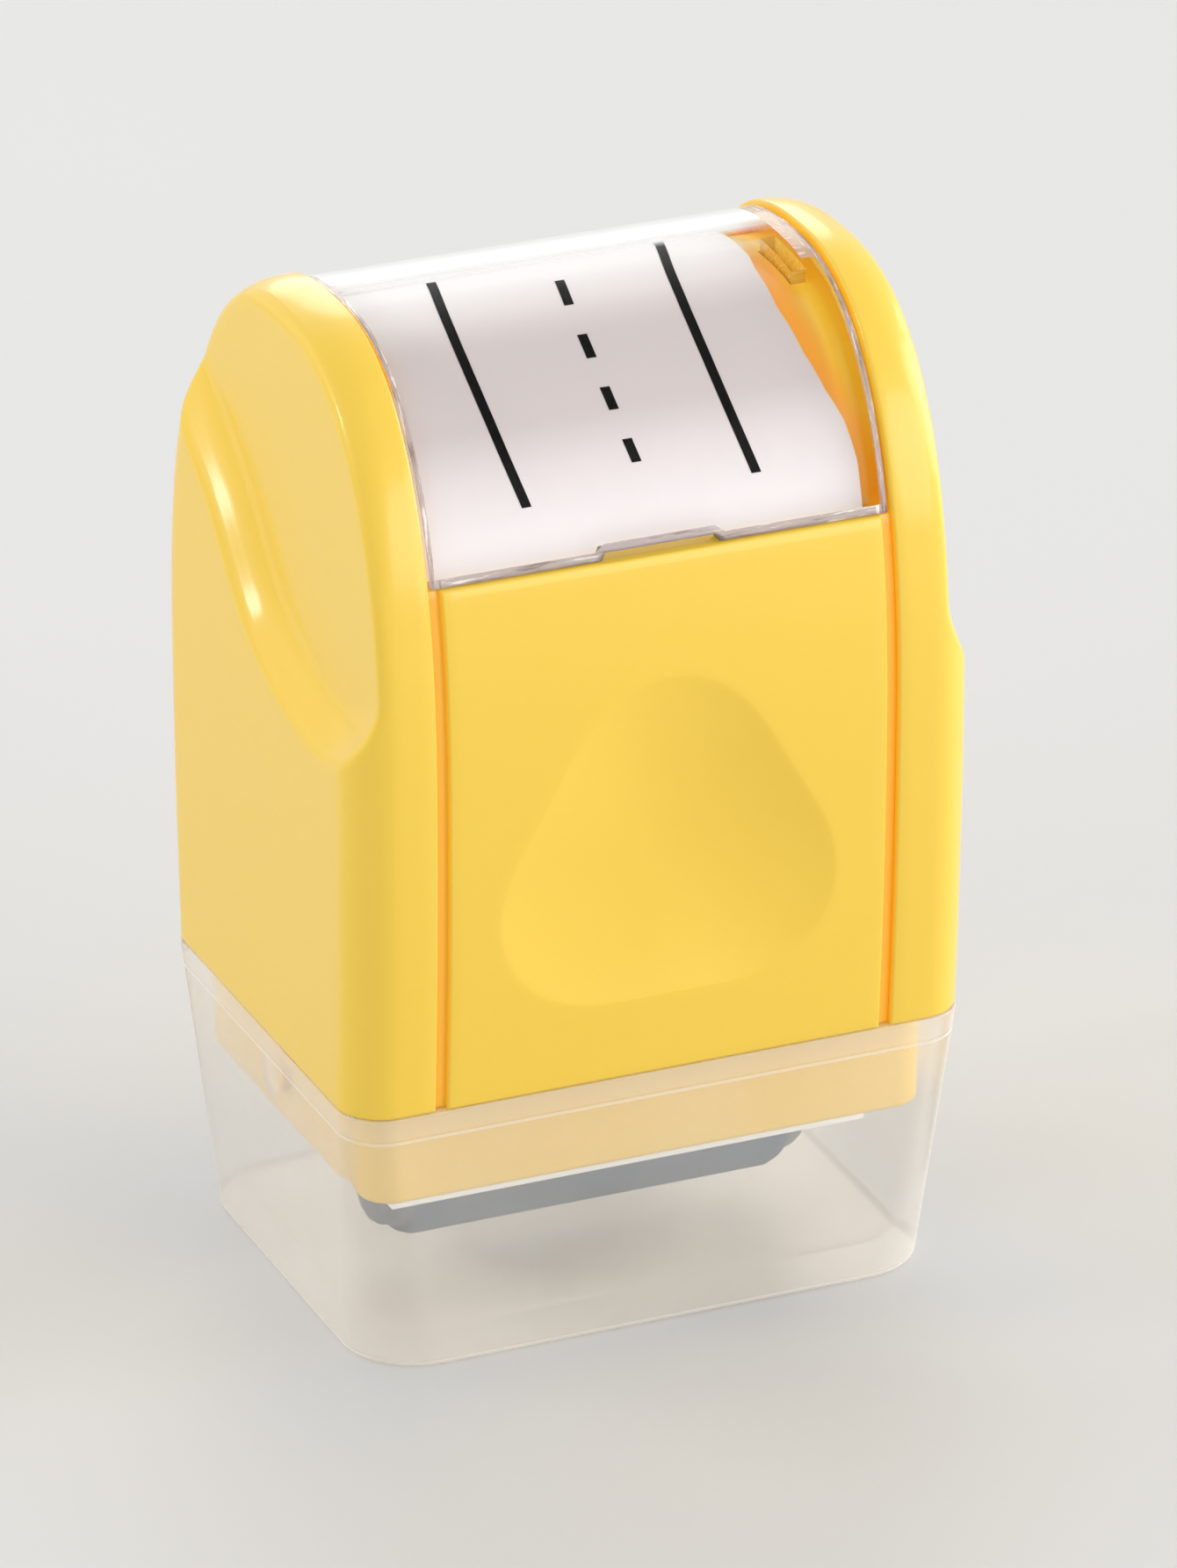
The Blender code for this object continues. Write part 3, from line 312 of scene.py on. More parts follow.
def frostedPlastic(name, side):
    f, graph = frostFinish, newLook(name)
    base, slant, onRim, onLine = f[side]
    grain, cloud, height = graph.grain(f["grain"]), graph.grain(f["cloud"], 3.0), graph.place("Z")
    rim = graph.within(height, (f["rimZ"] - 0.2) * millimetre, (f["rimZ"] + 0.2) * millimetre)
    lowZ, highZ = f["lineZ"]
    line = height.above(lowZ * millimetre) - height.above(highZ * millimetre)
    line = line + 1.0 - height.above(f["footZ"] * millimetre)
    fog = base + graph.facing() ** 2.0 * slant + rim * onRim + line * onLine + (cloud - 0.5) * 0.08
    relief = graph.relief(grain, 0.5, 0.004)
    clearRough = graph.spread(cloud, f["rough"] - 0.03, f["rough"] + 0.03)
    clear = graph.skin(f["tint"], clearRough, relief, {
        "IOR": f["ior"], "Transmission Weight": 1.0, "Coat Roughness": 0.22,
        "Coat Weight": f["gloss"] if side == "outside" else 0.0,
    })
    haze = graph.blend(cloud, f["milkDeep"], f["milk"])
    milk = graph.skin(haze, graph.spread(cloud, 0.40, 0.52), relief)
    return graph.passLamps(graph.mix(fog, clear, milk), (0.99, 0.977, 0.955))


paperFinish = {
    # footGlow and glow: a painted glow towards the paper's foot
    "rough": 0.42, "stain": (0.60, 0.56, 0.56), "footGlow": 0.18, "glow": (1.0, 0.97, 0.98),
    "footY": (-15.0, -17.4),
    # front-to-back places and the paper's colour there, darker in the middle as painted shade and
    # lighter towards the foot and top as painted light
    "shadingTones": [(-18.2, (1.0, 0.99, 1.0)), (-16.9, (1.0, 0.97, 0.98)), (-15.4, (1.0, 0.94, 0.95)),
              (-12.2, (0.70, 0.625, 0.62)), (-7.0, (0.67, 0.60, 0.59)),
              (-1.8, (0.80, 0.755, 0.745)), (2.0, (0.88, 0.865, 0.86))],
}


def labelPaper():
    f, graph = paperFinish, newLook("labelPaper")
    fibre, cloud = graph.grain(0.5, 4.0, (1.0, 0.4, 0.4), 0.65), graph.grain(9.0)
    # painted shade and painted light by the place from front to back
    shadingTones, depth = f["shadingTones"], graph.place("Y")
    low, high = shadingTones[0][0], shadingTones[-1][0]
    share = graph.within(depth, low * millimetre, high * millimetre, "LINEAR")
    tone = graph.ramp(share, [((y - low) / (high - low), colour) for y, colour in shadingTones])
    # a painted glow that lightens the paper towards its foot
    aboveY, footY = f["footY"]
    footward = graph.within(depth, aboveY * millimetre, footY * millimetre)
    rough = graph.spread(fibre, f["rough"] - 0.06, f["rough"] + 0.08)
    worn = graph.blend(fibre * 0.10 + cloud * 0.06, tone, f["stain"])
    return graph.done(graph.skin(worn, rough, graph.relief(fibre, 0.4, 0.006), {
        "Emission Color": graph.blend(footward, (0.0, 0.0, 0.0), f["glow"]),
        "Emission Strength": f["footGlow"],
    }))


inkFinish = {"deep": (0.002, 0.002, 0.002), "light": (0.006, 0.006, 0.006), "gloss": 0.08}


def printedInk():
    graph = newLook("printedInk")
    fibre = graph.grain(0.35, 3.0)
    tone = graph.blend(fibre, inkFinish["deep"], inkFinish["light"])
    relief = graph.relief(fibre, 0.3, 0.003)
    gloss = {"Specular IOR Level": inkFinish["gloss"]}
    return graph.done(graph.skin(tone, graph.spread(fibre, 0.60, 0.80), relief, gloss))


rubberFinish = {"light": (0.003, 0.070, 0.155), "deep": (0.002, 0.055, 0.125), "rough": 0.80,
                "gloss": 0.25}


def dieRubber():
    f, graph = rubberFinish, newLook("dieRubber")
    grain, wear = graph.grain(0.12, 3.0), graph.grain(4.0, 4.0, (0.3, 1.0, 1.0))
    tone = graph.blend(wear * 0.8 + grain * 0.2, f["deep"], f["light"])
    rough = graph.spread(wear, f["rough"] - 0.10, f["rough"] + 0.10)
    gloss = {"Specular IOR Level": f["gloss"]}
    return graph.done(graph.skin(tone, rough, graph.relief(grain, 0.7, 0.006), gloss))


foamFinish = {"deep": (0.016, 0.017, 0.022), "light": (0.050, 0.052, 0.062), "pore": 0.45}


def inkedFoam():
    f, graph = foamFinish, newLook("inkedFoam")
    scale = 1 / (f["pore"] * millimetre)
    pores = graph.node("ShaderNodeTexVoronoi", values={"Vector": graph.place(), "Scale": scale})
    damp = graph.grain(5.0, 3.0)
    tone = graph.blend(damp * 0.6 + pores * 0.4, f["deep"], f["light"])
    relief = graph.relief(pores, 0.9, 0.12)
    sheen = {"Sheen Weight": 0.3}
    return graph.done(graph.skin(tone, graph.spread(damp, 0.45, 0.90), relief, sheen))


steelFinish = {"deep": (0.52, 0.52, 0.53), "light": (0.66, 0.66, 0.66), "draw": (0.03, 1.0, 1.0)}


def drawnSteel():
    f, graph = steelFinish, newLook("drawnSteel")
    draw, cloud = graph.grain(0.10, 3.0, f["draw"]), graph.grain(3.0)
    tone = graph.blend(cloud, f["deep"], f["light"])
    relief = graph.relief(draw, 0.4, 0.002)
    return graph.done(graph.skin(tone, graph.spread(draw, 0.22, 0.40), relief, {"Metallic": 1.0}))


looks = {
    "yellow": mouldedPlastic("yellowPlastic"),
    "white": mouldedPlastic("whitePlastic"),
    "grey": mouldedPlastic("greyPlastic"),
    "clear": clearPlastic(),
    **{name: clearEdge(name) for name in edgeFinish},
    "frosted": frostedPlastic("frostedPlastic", "outside"),
    "frostedInside": frostedPlastic("frostedInside", "inside"),
    "paper": labelPaper(),
    "ink": printedInk(),
    "rubber": dieRubber(),
    "foam": inkedFoam(),
    "steel": drawnSteel(),
}
print("materials made:", len(looks))


# Mesh tools. Forms are in millimetres until they are dressed.

def addObject(name, data):
    item = bpy.data.objects.new(name, data)
    scene.collection.objects.link(item)
    return item


def newItem(name, form):
    bmesh.ops.recalc_face_normals(form, faces=form.faces)
    mesh = bpy.data.meshes.new(name)
    form.to_mesh(mesh)
    form.free()
    return addObject(name, mesh)


def bake(item):
    # turns the object with its modifiers into a plain mesh
    bpy.context.view_layer.update()
    graph = bpy.context.evaluated_depsgraph_get()
    mesh = bpy.data.meshes.new_from_object(item.evaluated_get(graph))
    item.modifiers.clear()
    if item.type == "MESH":
        item.data = mesh
        return item
    bpy.data.objects.remove(item, do_unlink=True)
    return addObject("baked", mesh)


def shape(item, operation, *others):
    # boolean with each of the others, which are then gone
    for other in others:
        change = item.modifiers.new(operation.lower(), "BOOLEAN")
        change.operation = operation
        change.object = other
        change.solver = "EXACT"
    bake(item)
    for other in others:
        bpy.data.objects.remove(other, do_unlink=True)


def soften(item, width, segments=2, angle=40):
    edge = item.modifiers.new("edges", "BEVEL")
    edge.width = width
    edge.segments = segments
    edge.limit_method = "ANGLE"
    edge.angle_limit = math.radians(angle)
    bake(item)


def coat(item, names, rule):
    # looks by their names, and which of them each face has
    item.data.materials.clear()
    for name in names:
        item.data.materials.append(looks[name])
    for face in item.data.polygons:
        face.material_index = rule(face)


def dress(item, look, body, slot, *nodes, sharp=30):
    mesh = item.data
    mesh.transform(Matrix.Scale(millimetre, 4))
    if look:
        mesh.materials.clear()
        mesh.materials.append(looks[look])
    mesh.shade_smooth()
    mesh.set_sharp_from_angle(angle=math.radians(sharp))
    if nodes:
        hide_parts(*nodes)
    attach(item, body)
    return item


def paint(item, name, rule):
    # an attribute at each vertex, by a rule on its place
    shade = item.data.attributes.new(name, "FLOAT", "POINT")
    for vertex in item.data.vertices:
        shade.data[vertex.index].value = min(max(rule(*vertex.co), 0.0), 1.0)


def quarter(steps):
    # (sine, cosine) pairs through a right angle
    angles = [math.pi / 2 * i / steps for i in range(steps + 1)]
    return [(math.sin(angle), math.cos(angle)) for angle in angles]


def ordered(side, first, second):
    # two places mirrored to a side, the lower one first
    return sorted((side * first, side * second))


def loft(rings, closed=False):
    form = bmesh.new()
    loops = [[form.verts.new(point) for point in ring] for ring in rings]
    pairs = list(zip(loops, loops[1:] + loops[:1] if closed else loops[1:]))
    for first, second in pairs:
        for i in range(len(first)):
            j = (i + 1) % len(first)
            form.faces.new((first[i], first[j], second[j], second[i]))
    if not closed:
        form.faces.new(loops[0])
        form.faces.new(loops[-1])
    return form


def block(xs, ys, zs, topInset=0.0):
    rings = []
    for z, inset in zip(zs, (0.0, topInset)):
        x0, x1 = xs[0] + inset, xs[1] - inset
        rings.append([(x0, ys[0], z), (x1, ys[0], z), (x1, ys[1], z), (x0, ys[1], z)])
    return newItem("block", loft(rings))


def rod(radius, ends, across, axis="X", steps=32, name="rod"):
    rings = []
    for end in ends:
        ring = []
        for i in range(steps):
            angle = 2 * math.pi * i / steps
            a, b = across[0] + radius * math.cos(angle), across[1] + radius * math.sin(angle)
            ring.append((end, a, b) if axis == "X" else (a, b, end))
        rings.append(ring)
    return newItem(name, loft(rings))


def rounded(points, radii, steps=4):
    # a closed outline whose corners are rounded, each by its own radius
    result, count = [], len(points)
    for i in range(count):
        before, here, after = (Vector(points[(i + k) % count]) for k in (-1, 0, 1))
        toBefore, toAfter = (before - here).normalized(), (after - here).normalized()
        turn = toBefore.angle(toAfter)
        radius = radii[i] if isinstance(radii, (list, tuple)) else radii
        if radius <= 0 or abs(turn - math.pi) < 0.01:
            result.append(tuple(here))
            continue
        reach = radius / math.tan(turn / 2)
        centre = here + (toBefore + toAfter).normalized() * (radius / math.sin(turn / 2))
        start, end = here + toBefore * reach - centre, here + toAfter * reach - centre
        result += [tuple(centre + start.slerp(end, k / steps)) for k in range(steps + 1)]
    return result


def lathe(name, profile, axisZ, steps=96):
    # a ring about an axle along X, from a closed outline of (x, radius) points
    rings = []
    for i in range(steps):
        sine, cosine = math.sin(2 * math.pi * i / steps), math.cos(2 * math.pi * i / steps)
        rings.append([(x, r * sine, axisZ + r * cosine) for x, r in profile])
    return newItem(name, loft(rings, closed=True))


def sleeve(name, outer, inner, endX, axisZ, edge=0.15, steps=96):
    corners = [(-endX, inner), (-endX, outer), (endX, outer), (endX, inner)]
    return lathe(name, rounded(corners, edge, 2), axisZ, steps)


def cutAlong(form, height, levels, tiny=0.012):
    # splits the faces along lines where height(point) has each level
    for level in levels:
        values = {vertex: height(vertex.co) - level for vertex in form.verts}
        marked = {vertex for vertex, value in values.items() if abs(value) < tiny}
        for edge in list(form.edges):
            first, second = edge.verts
            if first in marked or second in marked or values[first] * values[second] >= 0:
                continue
            share = values[first] / (values[first] - values[second])
            marked.add(bmesh.utils.edge_split(edge, first, share)[1])
        for face in list(form.faces):
            ends = [vertex for vertex in face.verts if vertex in marked]
            if len(ends) == 2 and not any(ends[1] in edge.verts for edge in ends[0].link_edges):
                bmesh.utils.face_split(face, ends[0], ends[1])


def easeIn(value, width):
    # 0 below -width, value above width, and a smooth bend between
    if value <= -width:
        return 0.0
    return value if value >= width else (value + width) ** 2 / (4 * width)


def refined(node, edge, name):
    # the frame's own solid with its triangles joined again and its edges softened
    form = bmesh.new()
    form.from_mesh(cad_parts[node].data)
    bmesh.ops.scale(form, vec=(1 / millimetre,) * 3, verts=form.verts)
    bmesh.ops.remove_doubles(form, verts=form.verts, dist=0.002)
    flat = math.radians(1.0)
    bmesh.ops.dissolve_limit(form, angle_limit=flat, verts=form.verts, edges=form.edges)
    item = newItem(name, form)
    soften(item, edge)
    return item


def between(marks, at):
    # the value at a place on a line of (place, value) marks
    i = bisect.bisect_left(marks, at, key=lambda mark: mark[0])
    i = min(max(i, 1), len(marks) - 1)
    (place0, value0), (place1, value1) = marks[i - 1], marks[i]
    return value0 + (value1 - value0) * (at - place0) / (place1 - place0)


def runOf(points):
    # how far along a line each of its points lies
    lengths = [0.0]
    for first, second in zip(points, points[1:]):
        lengths.append(lengths[-1] + math.dist(first[:2], second[:2]))
    return lengths


# The body's arch

bodyForm = {"footZ": 21.9, "springZ": 46.0, "topZ": 80.2, "frontY": 19.8, "sideX": 25.1,
            "barrelDraw": 0.8, "archPower": 2.52, "footRound": 0.25, "barrelSteps": 160,
            "archSteps": 1200}


def frontLine():
    # (y, z, inward y, inward z) from the front foot to the middle of the top
    b, line = bodyForm, []
    straight, archHeight = b["springZ"] - b["footZ"], b["topZ"] - b["springZ"]
    power, count = b["archPower"], b["barrelSteps"]
    for i in range(count):
        y = b["frontY"] - b["barrelDraw"] * (1 - i / count) ** 2
        line.append((-y, b["footZ"] + straight * i / count, 1.0, 0.0))
    for sine, cosine in quarter(b["archSteps"]):
        across, up = max(cosine, 0.0) ** (2 / power), sine ** (2 / power)
        slopeY, slopeZ = across ** (power - 1) / b["frontY"], up ** (power - 1) / archHeight
        length = math.hypot(slopeY, slopeZ)
        y, z = -b["frontY"] * across, b["springZ"] + archHeight * up
        line.append((y, z, slopeY / length, -slopeZ / length))
    return line


arch = frontLine()
insetLines = {}


def insetFront(inset):
    key = round(inset, 4)
    if key not in insetLines:
        insetLines[key] = [(y + ny * inset, z + nz * inset) for y, z, ny, nz in arch]
    return insetLines[key]


def depthAt(inset, z):
    # y of the moved-in front at a height
    line = insetFront(inset)
    i = min(max(bisect.bisect_left(line, z, key=lambda point: point[1]), 1), len(line) - 1)
    (y0, z0), (y1, z1) = line[i - 1], line[i]
    return y0 + (y1 - y0) * (z - z0) / (z1 - z0)


def spaced(line, step):
    # points at even distances along a line, its ends kept
    lengths, points = runOf(line), []
    count = max(2, round(lengths[-1] / step))
    for k in range(count + 1):
        at = lengths[-1] * k / count
        i = min(max(bisect.bisect_left(lengths, at), 1), len(line) - 1)
        share = (at - lengths[i - 1]) / max(lengths[i] - lengths[i - 1], 1e-9)
        points.append(tuple(a + (b - a) * share for a, b in zip(line[i - 1], line[i])))
    return points


def aboveZ(inset, z, step):
    line = [point for point in insetFront(inset) if point[1] > z + 0.01]
    return spaced([(depthAt(inset, z), z)] + line, step)


def bothSides(front):
    return front + [(-y, z) for y, z in reversed(front) if y < -1e-6]


def archSolid(stations, zLow, zHigh=None, step=1.2):
    # a solid of arch outlines along X, for cutting and joining
    rings = []
    for x, inset in stations:
        line = [(depthAt(inset, bodyForm["footZ"]), zLow)]
        line += [point for point in insetFront(inset) if zHigh is None or point[1] < zHigh]
        if zHigh is not None:
            line.append((depthAt(inset, zHigh), zHigh))
        rings.append([(x, y, z) for y, z in bothSides(spaced(line, step))])
    return newItem("archSolid", loft(rings))


# Cheeks

cheekForm = {
    "rimX": 18.5, "rimRound": 0.2, "rimWall": 0.8, "pocketX": 20.6, "wall": 1.8, "hollowTopZ": 46.5,
    "edgeRadius": 3.6, "topEdgeRadius": 6.0, "edgeGrowth": 3, "rowStep": 0.6, "edgeRings": 16,
    "innerRings": 26, "spineShare": 0.5, "scoopX": 22.6, "scoopDepth": 2.3, "scoopRamp": 3.8,
    "rampCuts": (0.12, 0.28, 0.48, 0.72, 1.0), "crestRound": 0.9,
    # the scoop's lower edge, back to front: shares of half the depth and of the body's height
    "scoopEdge": [(1.14, 0.860), (0.81, 0.772), (0.44, 0.675), (0.08, 0.553),
                  (-0.30, 0.494), (-0.62, 0.478), (-0.86, 0.494), (-1.14, 0.545)],
    "bossRadius": 1.7, "bossX": 19.7, "bossY": 13.4, "bossFootZ": 33.3, "ribWall": 1.0,
    "pegRadius": 1.4, "pegY": 7.0, "pegZ": 56.9, "pegEndX": 12.85, "screwRadius": 0.85,
    # gap and glow: painted shade and painted glow in the groove along the rim, fading out over
    # shadeWidth
    "screwGrip": 6.0, "overrun": 0.4, "gap": 0.18, "glow": 0.3, "shadeWidth": 0.15,
}


def smoothLine(marks, steps):
    early = tuple(2 * a - b for a, b in zip(marks[0], marks[1]))
    late = tuple(2 * a - b for a, b in zip(marks[-1], marks[-2]))
    ends, points = [early, *marks, late], []
    for p0, p1, p2, p3 in zip(ends, ends[1:], ends[2:], ends[3:]):
        for i in range(steps):
            t, point = i / steps, []
            for a, b, c, d in zip(p0, p1, p2, p3):
                bend = a - 2.5 * b + 2 * c - d / 2 + t * ((d - a) / 2 + 1.5 * (b - c))
                point.append(b + t * ((c - a) / 2 + t * bend))
            points.append(tuple(point))
    return points + [tuple(marks[-1])]


def treeOf(points):
    # finds the nearest of some (y, z) points
    tree = kdtree.KDTree(len(points))
    for i, point in enumerate(points):
        tree.insert((0, point[0], point[1]), i)
    tree.balance()
    return tree


def scoopField():
    # finds how far a side point lies above the scoop's lower edge
    b, height = bodyForm, bodyForm["topZ"] - bodyForm["footZ"]
    marks = [(a * b["frontY"], b["footZ"] + share * height) for a, share in cheekForm["scoopEdge"]]
    line = smoothLine(marks, 300)
    tree = treeOf(line)

    def reach(y, z):
        index = min(max(tree.find((0, y, z))[1], 1), len(line) - 2)
        (y0, z0), (y1, z1) = line[index - 1], line[index + 1]
        away = (y - line[index][0]) * (z1 - z0) - (z - line[index][1]) * (y1 - y0)
        return away / math.hypot(y1 - y0, z1 - z0)
    return reach


scoopReach = scoopField()


def scoopX(y, z):
    depth, ramp, reach = cheekForm["scoopDepth"], cheekForm["scoopRamp"], scoopReach(y, z)
    if reach <= 0:
        return bodyForm["sideX"] - 2 * depth / ramp * reach
    return bodyForm["sideX"] - depth + depth * max(1 - reach / ramp, 0.0) ** 2


def cheekRow(y, z, ny, nz, lift):
    # points from the rim over the rounded edge to the middle of the side
    c, sideX, springZ = cheekForm, bodyForm["sideX"], bodyForm["springZ"]
    rise = max(z - springZ, 0) / (bodyForm["topZ"] - springZ)
    growth = (c["topEdgeRadius"] - c["edgeRadius"]) * rise ** c["edgeGrowth"]
    radius = c["edgeRadius"] + growth
    rim, edgeX, inner = c["rimRound"], sideX - radius, radius - lift
    rimEnd = c["rimX"] + rim
    spots = [(rimEnd - rim * cosine, lift + rim * (1 - sine)) for sine, cosine in quarter(3)]
    spots += [(rimEnd + (edgeX - rimEnd) * share, lift) for share in (1 / 3, 2 / 3)]
    for sine, cosine in quarter(c["edgeRings"]):
        spots.append((edgeX + inner * sine, radius - inner * cosine))
    points = [(x, y + ny * inset, z + nz * inset) for x, inset in spots]
    x0, y0, z0 = points[-1]
    spineZ = springZ + (z - springZ) * c["spineShare"] if z > springZ else z0
    for i in range(1, c["innerRings"] + 1):
        share = i / c["innerRings"]
        points.append((x0, y0 * (1 - share), z0 + (spineZ - z0) * share))
    return points


def footRows(radius, steps=4):
    # (height, inset) pairs up a rounded bottom edge
    return [(radius * (1 - cosine), radius * (1 - sine)) for sine, cosine in quarter(steps)]


def cheekSkin(side):
    c, footZ, foot = cheekForm, bodyForm["footZ"], bodyForm["footRound"]
    rows = []
    for rise, lift in footRows(foot)[:-1]:
        rows.append(cheekRow(depthAt(0.0, footZ + rise), footZ + rise, 1.0, 0.0, lift))
    start = next(i for i, point in enumerate(arch) if point[1] > footZ + foot)
    rows += [cheekRow(*point, 0.0) for point in spaced(arch[start:], c["rowStep"])]
    rows += [[(x, -y, z) for x, y, z in row] for row in reversed(rows[:-1])]
    form = bmesh.new()
    grid = [[form.verts.new(point) for point in row] for row in rows]
    for first, second in zip(grid, grid[1:]):
        for i in range(len(first) - 1):
            form.faces.new((first[i], first[i + 1], second[i + 1], second[i]))
    form.faces.new([row[0] for row in grid])
    form.faces.new(grid[0] + grid[-1][::-1])
    bmesh.ops.remove_doubles(form, verts=form.verts, dist=0.004)
    width, ramp = c["crestRound"], c["scoopRamp"]
    crest = (-width, -width / 2, 0.0, width / 2, width)
    cutAlong(form, lambda p: p.x - scoopX(p.y, p.z), crest)
    levels = [ramp * share for share in c["rampCuts"]]
    cutAlong(form, lambda p: scoopReach(p.y, p.z) if p.x > c["scoopX"] else -5.0, levels)
    for vertex in form.verts:
        x, y, z = vertex.co
        vertex.co.x = side * (x - easeIn(x - scoopX(y, z), width))
    return form


def makeCheek(side, name):
    c, foot, endX = cheekForm, bodyForm["footZ"] - 1, bodyForm["sideX"] - cheekForm["wall"]
    cheek = newItem(f"cheek_{name}", cheekSkin(side))
    stations = [(side * (c["rimX"] - 1), c["rimWall"]), (side * c["pocketX"], c["rimWall"])]
    pocket = archSolid(stations, foot, step=0.6)
    stations = [(side * c["rimX"], c["wall"])]
    for sine, cosine in quarter(5):
        x, inset = endX - c["wall"] * (1 - sine), c["wall"] * (2 - cosine)
        stations.append((side * x, inset))
    shape(cheek, "DIFFERENCE", pocket, archSolid(stations, foot, c["hollowTopZ"]))
    low, high = c["bossFootZ"], c["hollowTopZ"] + c["overrun"]
    for ySide in (-1, 1):
        x, y, half = side * c["bossX"], ySide * c["bossY"], c["ribWall"] / 2
        boss = rod(c["bossRadius"], (low, high), (x, y), "Z")
        xs = ordered(side, c["bossX"], endX + c["overrun"])
        rib = block(xs, (y - half, y + half), (low, high))
        ends = ordered(side, c["pegEndX"], c["pocketX"] + c["overrun"])
        peg = rod(c["pegRadius"], ends, (ySide * c["pegY"], c["pegZ"]))
        pilot = rod(c["screwRadius"], (low - 1, low + c["screwGrip"]), (x, y), "Z")
        shape(cheek, "UNION", boss, rib, peg)
        shape(cheek, "DIFFERENCE", pilot)
    # painted shade and painted glow in the groove along the rim
    for shade in ("gap", "glow"):  # along the rim
        fade = c[shade] / c["shadeWidth"]
        paint(cheek, shade, lambda x, y, z: c[shade] - fade * (abs(x) - c["rimX"]))
    dress(cheek, "yellow", "housing", "yellow_plastic", f"{name}_cheek", sharp=34)


for name, side in sides.items():
    makeCheek(side, name)
print("cheeks done")


# Centre shell: both panels, the step and the deck under the label

shellForm = {
    "panelX": 17.55, "sideRound": 0.2, "panelTopZ": 63.4, "wall": 2.2, "topRound": 0.16,
    "deckDepth": 2.6, "deckInside": 4.0, "stepHeight": 2.2, "flangeX": 20.3, "flangeDepth": 1.1,
    "webX": (13.45, 14.85), "webInset": 1.8, "holeRadius": 1.7, "holeInset": 0.6, "rowStep": 0.62,
    "columnStep": 0.7, "grooveDepth": 0.6, "grooveX": 18.47, "webZ": (40.2, 45.0, 50.0, 56.0),
    "overrun": 0.4,
    "dentZ": 39.7, "dentTopZ": 56, "dentRadius": 12.9, "dentDepth": 1.6, "dentCorners": 0.12,
    "dentEdge": 0.05,
    # the warm painted shade and painted glow in the grooves and on the deck beside the label
    "gap": 0.18, "glow": 0.3, "shadeWidth": 0.1, "deckShare": 0.2, "stripShade": 0.1,
    "stripGlow": 0.7, "stripX": 0.9, "shadowFringe": (1.9, 1.5), "fadeY": (3.0, 6.0),
    "footZ": (68.5, 2.0),
}
labelForm = {
    "depth": 2.0, "thickness": 0.3, "footZ": 63.45, "endY": 9.0, "step": 0.6,
    # (y, x) marks of its side edges; the right one is trimmed, both pass beside the window's legs
    "left": [(-20.0, -17.8), (3.4, -17.8), (4.6, -15.6), (20.0, -15.6)],
    "right": [(-20.0, 16.9), (-15.2, 16.9), (-14.0, 16.35), (-12.8, 15.35), (-10.9, 14.4),
              (-7.7, 13.7), (-3.3, 13.9), (-1.0, 14.4), (20.0, 14.8)],
}
legForm = {"outerX": 17.3, "wall": 1.2, "width": 5.6, "length": 6.0, "rightY": -2.1, "leftY": 7.8,
           "gap": 0.12}


def legBox(side, gap=0.0):
    f = legForm
    middle, half = f["rightY"] if side > 0 else f["leftY"], f["width"] / 2 + gap
    lowX, highX = ordered(side, f["outerX"] - f["wall"], f["outerX"])
    lowZ = bodyForm["topZ"] - windowForm["inside"] - f["length"]
    return (lowX - gap, highX + gap), (middle - half, middle + half), (lowZ, bodyForm["topZ"])


def shellRing(x, inset):
    s, foot = shellForm, bodyForm["footZ"]
    top, stepZ, edge = s["panelTopZ"], s["panelTopZ"] - s["stepHeight"], s["topRound"]
    low, high = foot + bodyForm["footRound"], top - edge
    count = round((high - low) / s["rowStep"])
    spots = [(inset + lift, foot + rise) for rise, lift in footRows(bodyForm["footRound"])]
    spots += [(inset, low + (high - low) * i / count) for i in range(1, count + 1)]
    spots += [(inset + edge * (1 - cosine), high + edge * sine) for sine, cosine in quarter(3)[1:]]
    outside = [(depthAt(inward, z), z) for inward, z in spots] + aboveZ(s["deckDepth"], top, 0.8)
    inside = [(depthAt(s["wall"], foot + rise), foot + rise)
              for rise in ((stepZ - foot) * i / 20 for i in range(21))]
    inside += aboveZ(s["deckInside"], stepZ, 1.6)
    return [(x, y, z) for y, z in bothSides(outside) + bothSides(inside)[::-1]]


def dentHeight(point):
    s = shellForm
    if point.z > s["dentTopZ"] or abs(point.y) < -depthAt(0.0, point.z) - 0.3:
        return -1.0
    x, z = point.x, point.z - s["dentZ"]
    corners = s["dentCorners"] * math.cos(3 * (math.atan2(z, x) - math.pi / 2))
    return s["dentDepth"] * (1 - (x * x + z * z) / (s["dentRadius"] * (1 + corners)) ** 2)


# painted shade: deep orange in the grooves, in a shadow fringe beside the label's right edge, low
# on the deck and on the strip by the cheek wall
def gapShade(x, y, z):
    s = shellForm
    if not onDeck(x, y, z):
        return s["gap"] * (abs(x) - s["panelX"] + s["shadeWidth"]) / s["shadeWidth"]
    beside = abs(x - between(labelForm["right"], y))
    (most, width), (endY, fade), (footZ, rise) = s["shadowFringe"], s["fadeY"], s["footZ"]
    shadowFringe = (most - beside / width) * min(max((endY - y) / fade, 0.0), 1.0)
    return max(shadowFringe, (footZ - z) / rise, s["stripShade"] if x > s["panelX"] - s["stripX"] else 0.0)


# painted glow in the grooves and on the deck, strongest on the strip by the cheek wall
def gapGlow(x, y, z):
    s = shellForm
    if not onDeck(x, y, z):
        return s["glow"] * (abs(x) - s["panelX"] + s["shadeWidth"]) / s["shadeWidth"]
    return s["stripGlow"] if x > s["panelX"] - s["stripX"] else s["deckShare"] * gapShade(x, y, z)


def onDeck(x, y, z):
    return z > shellForm["panelTopZ"] + 0.2 and x > 5 and y < 8


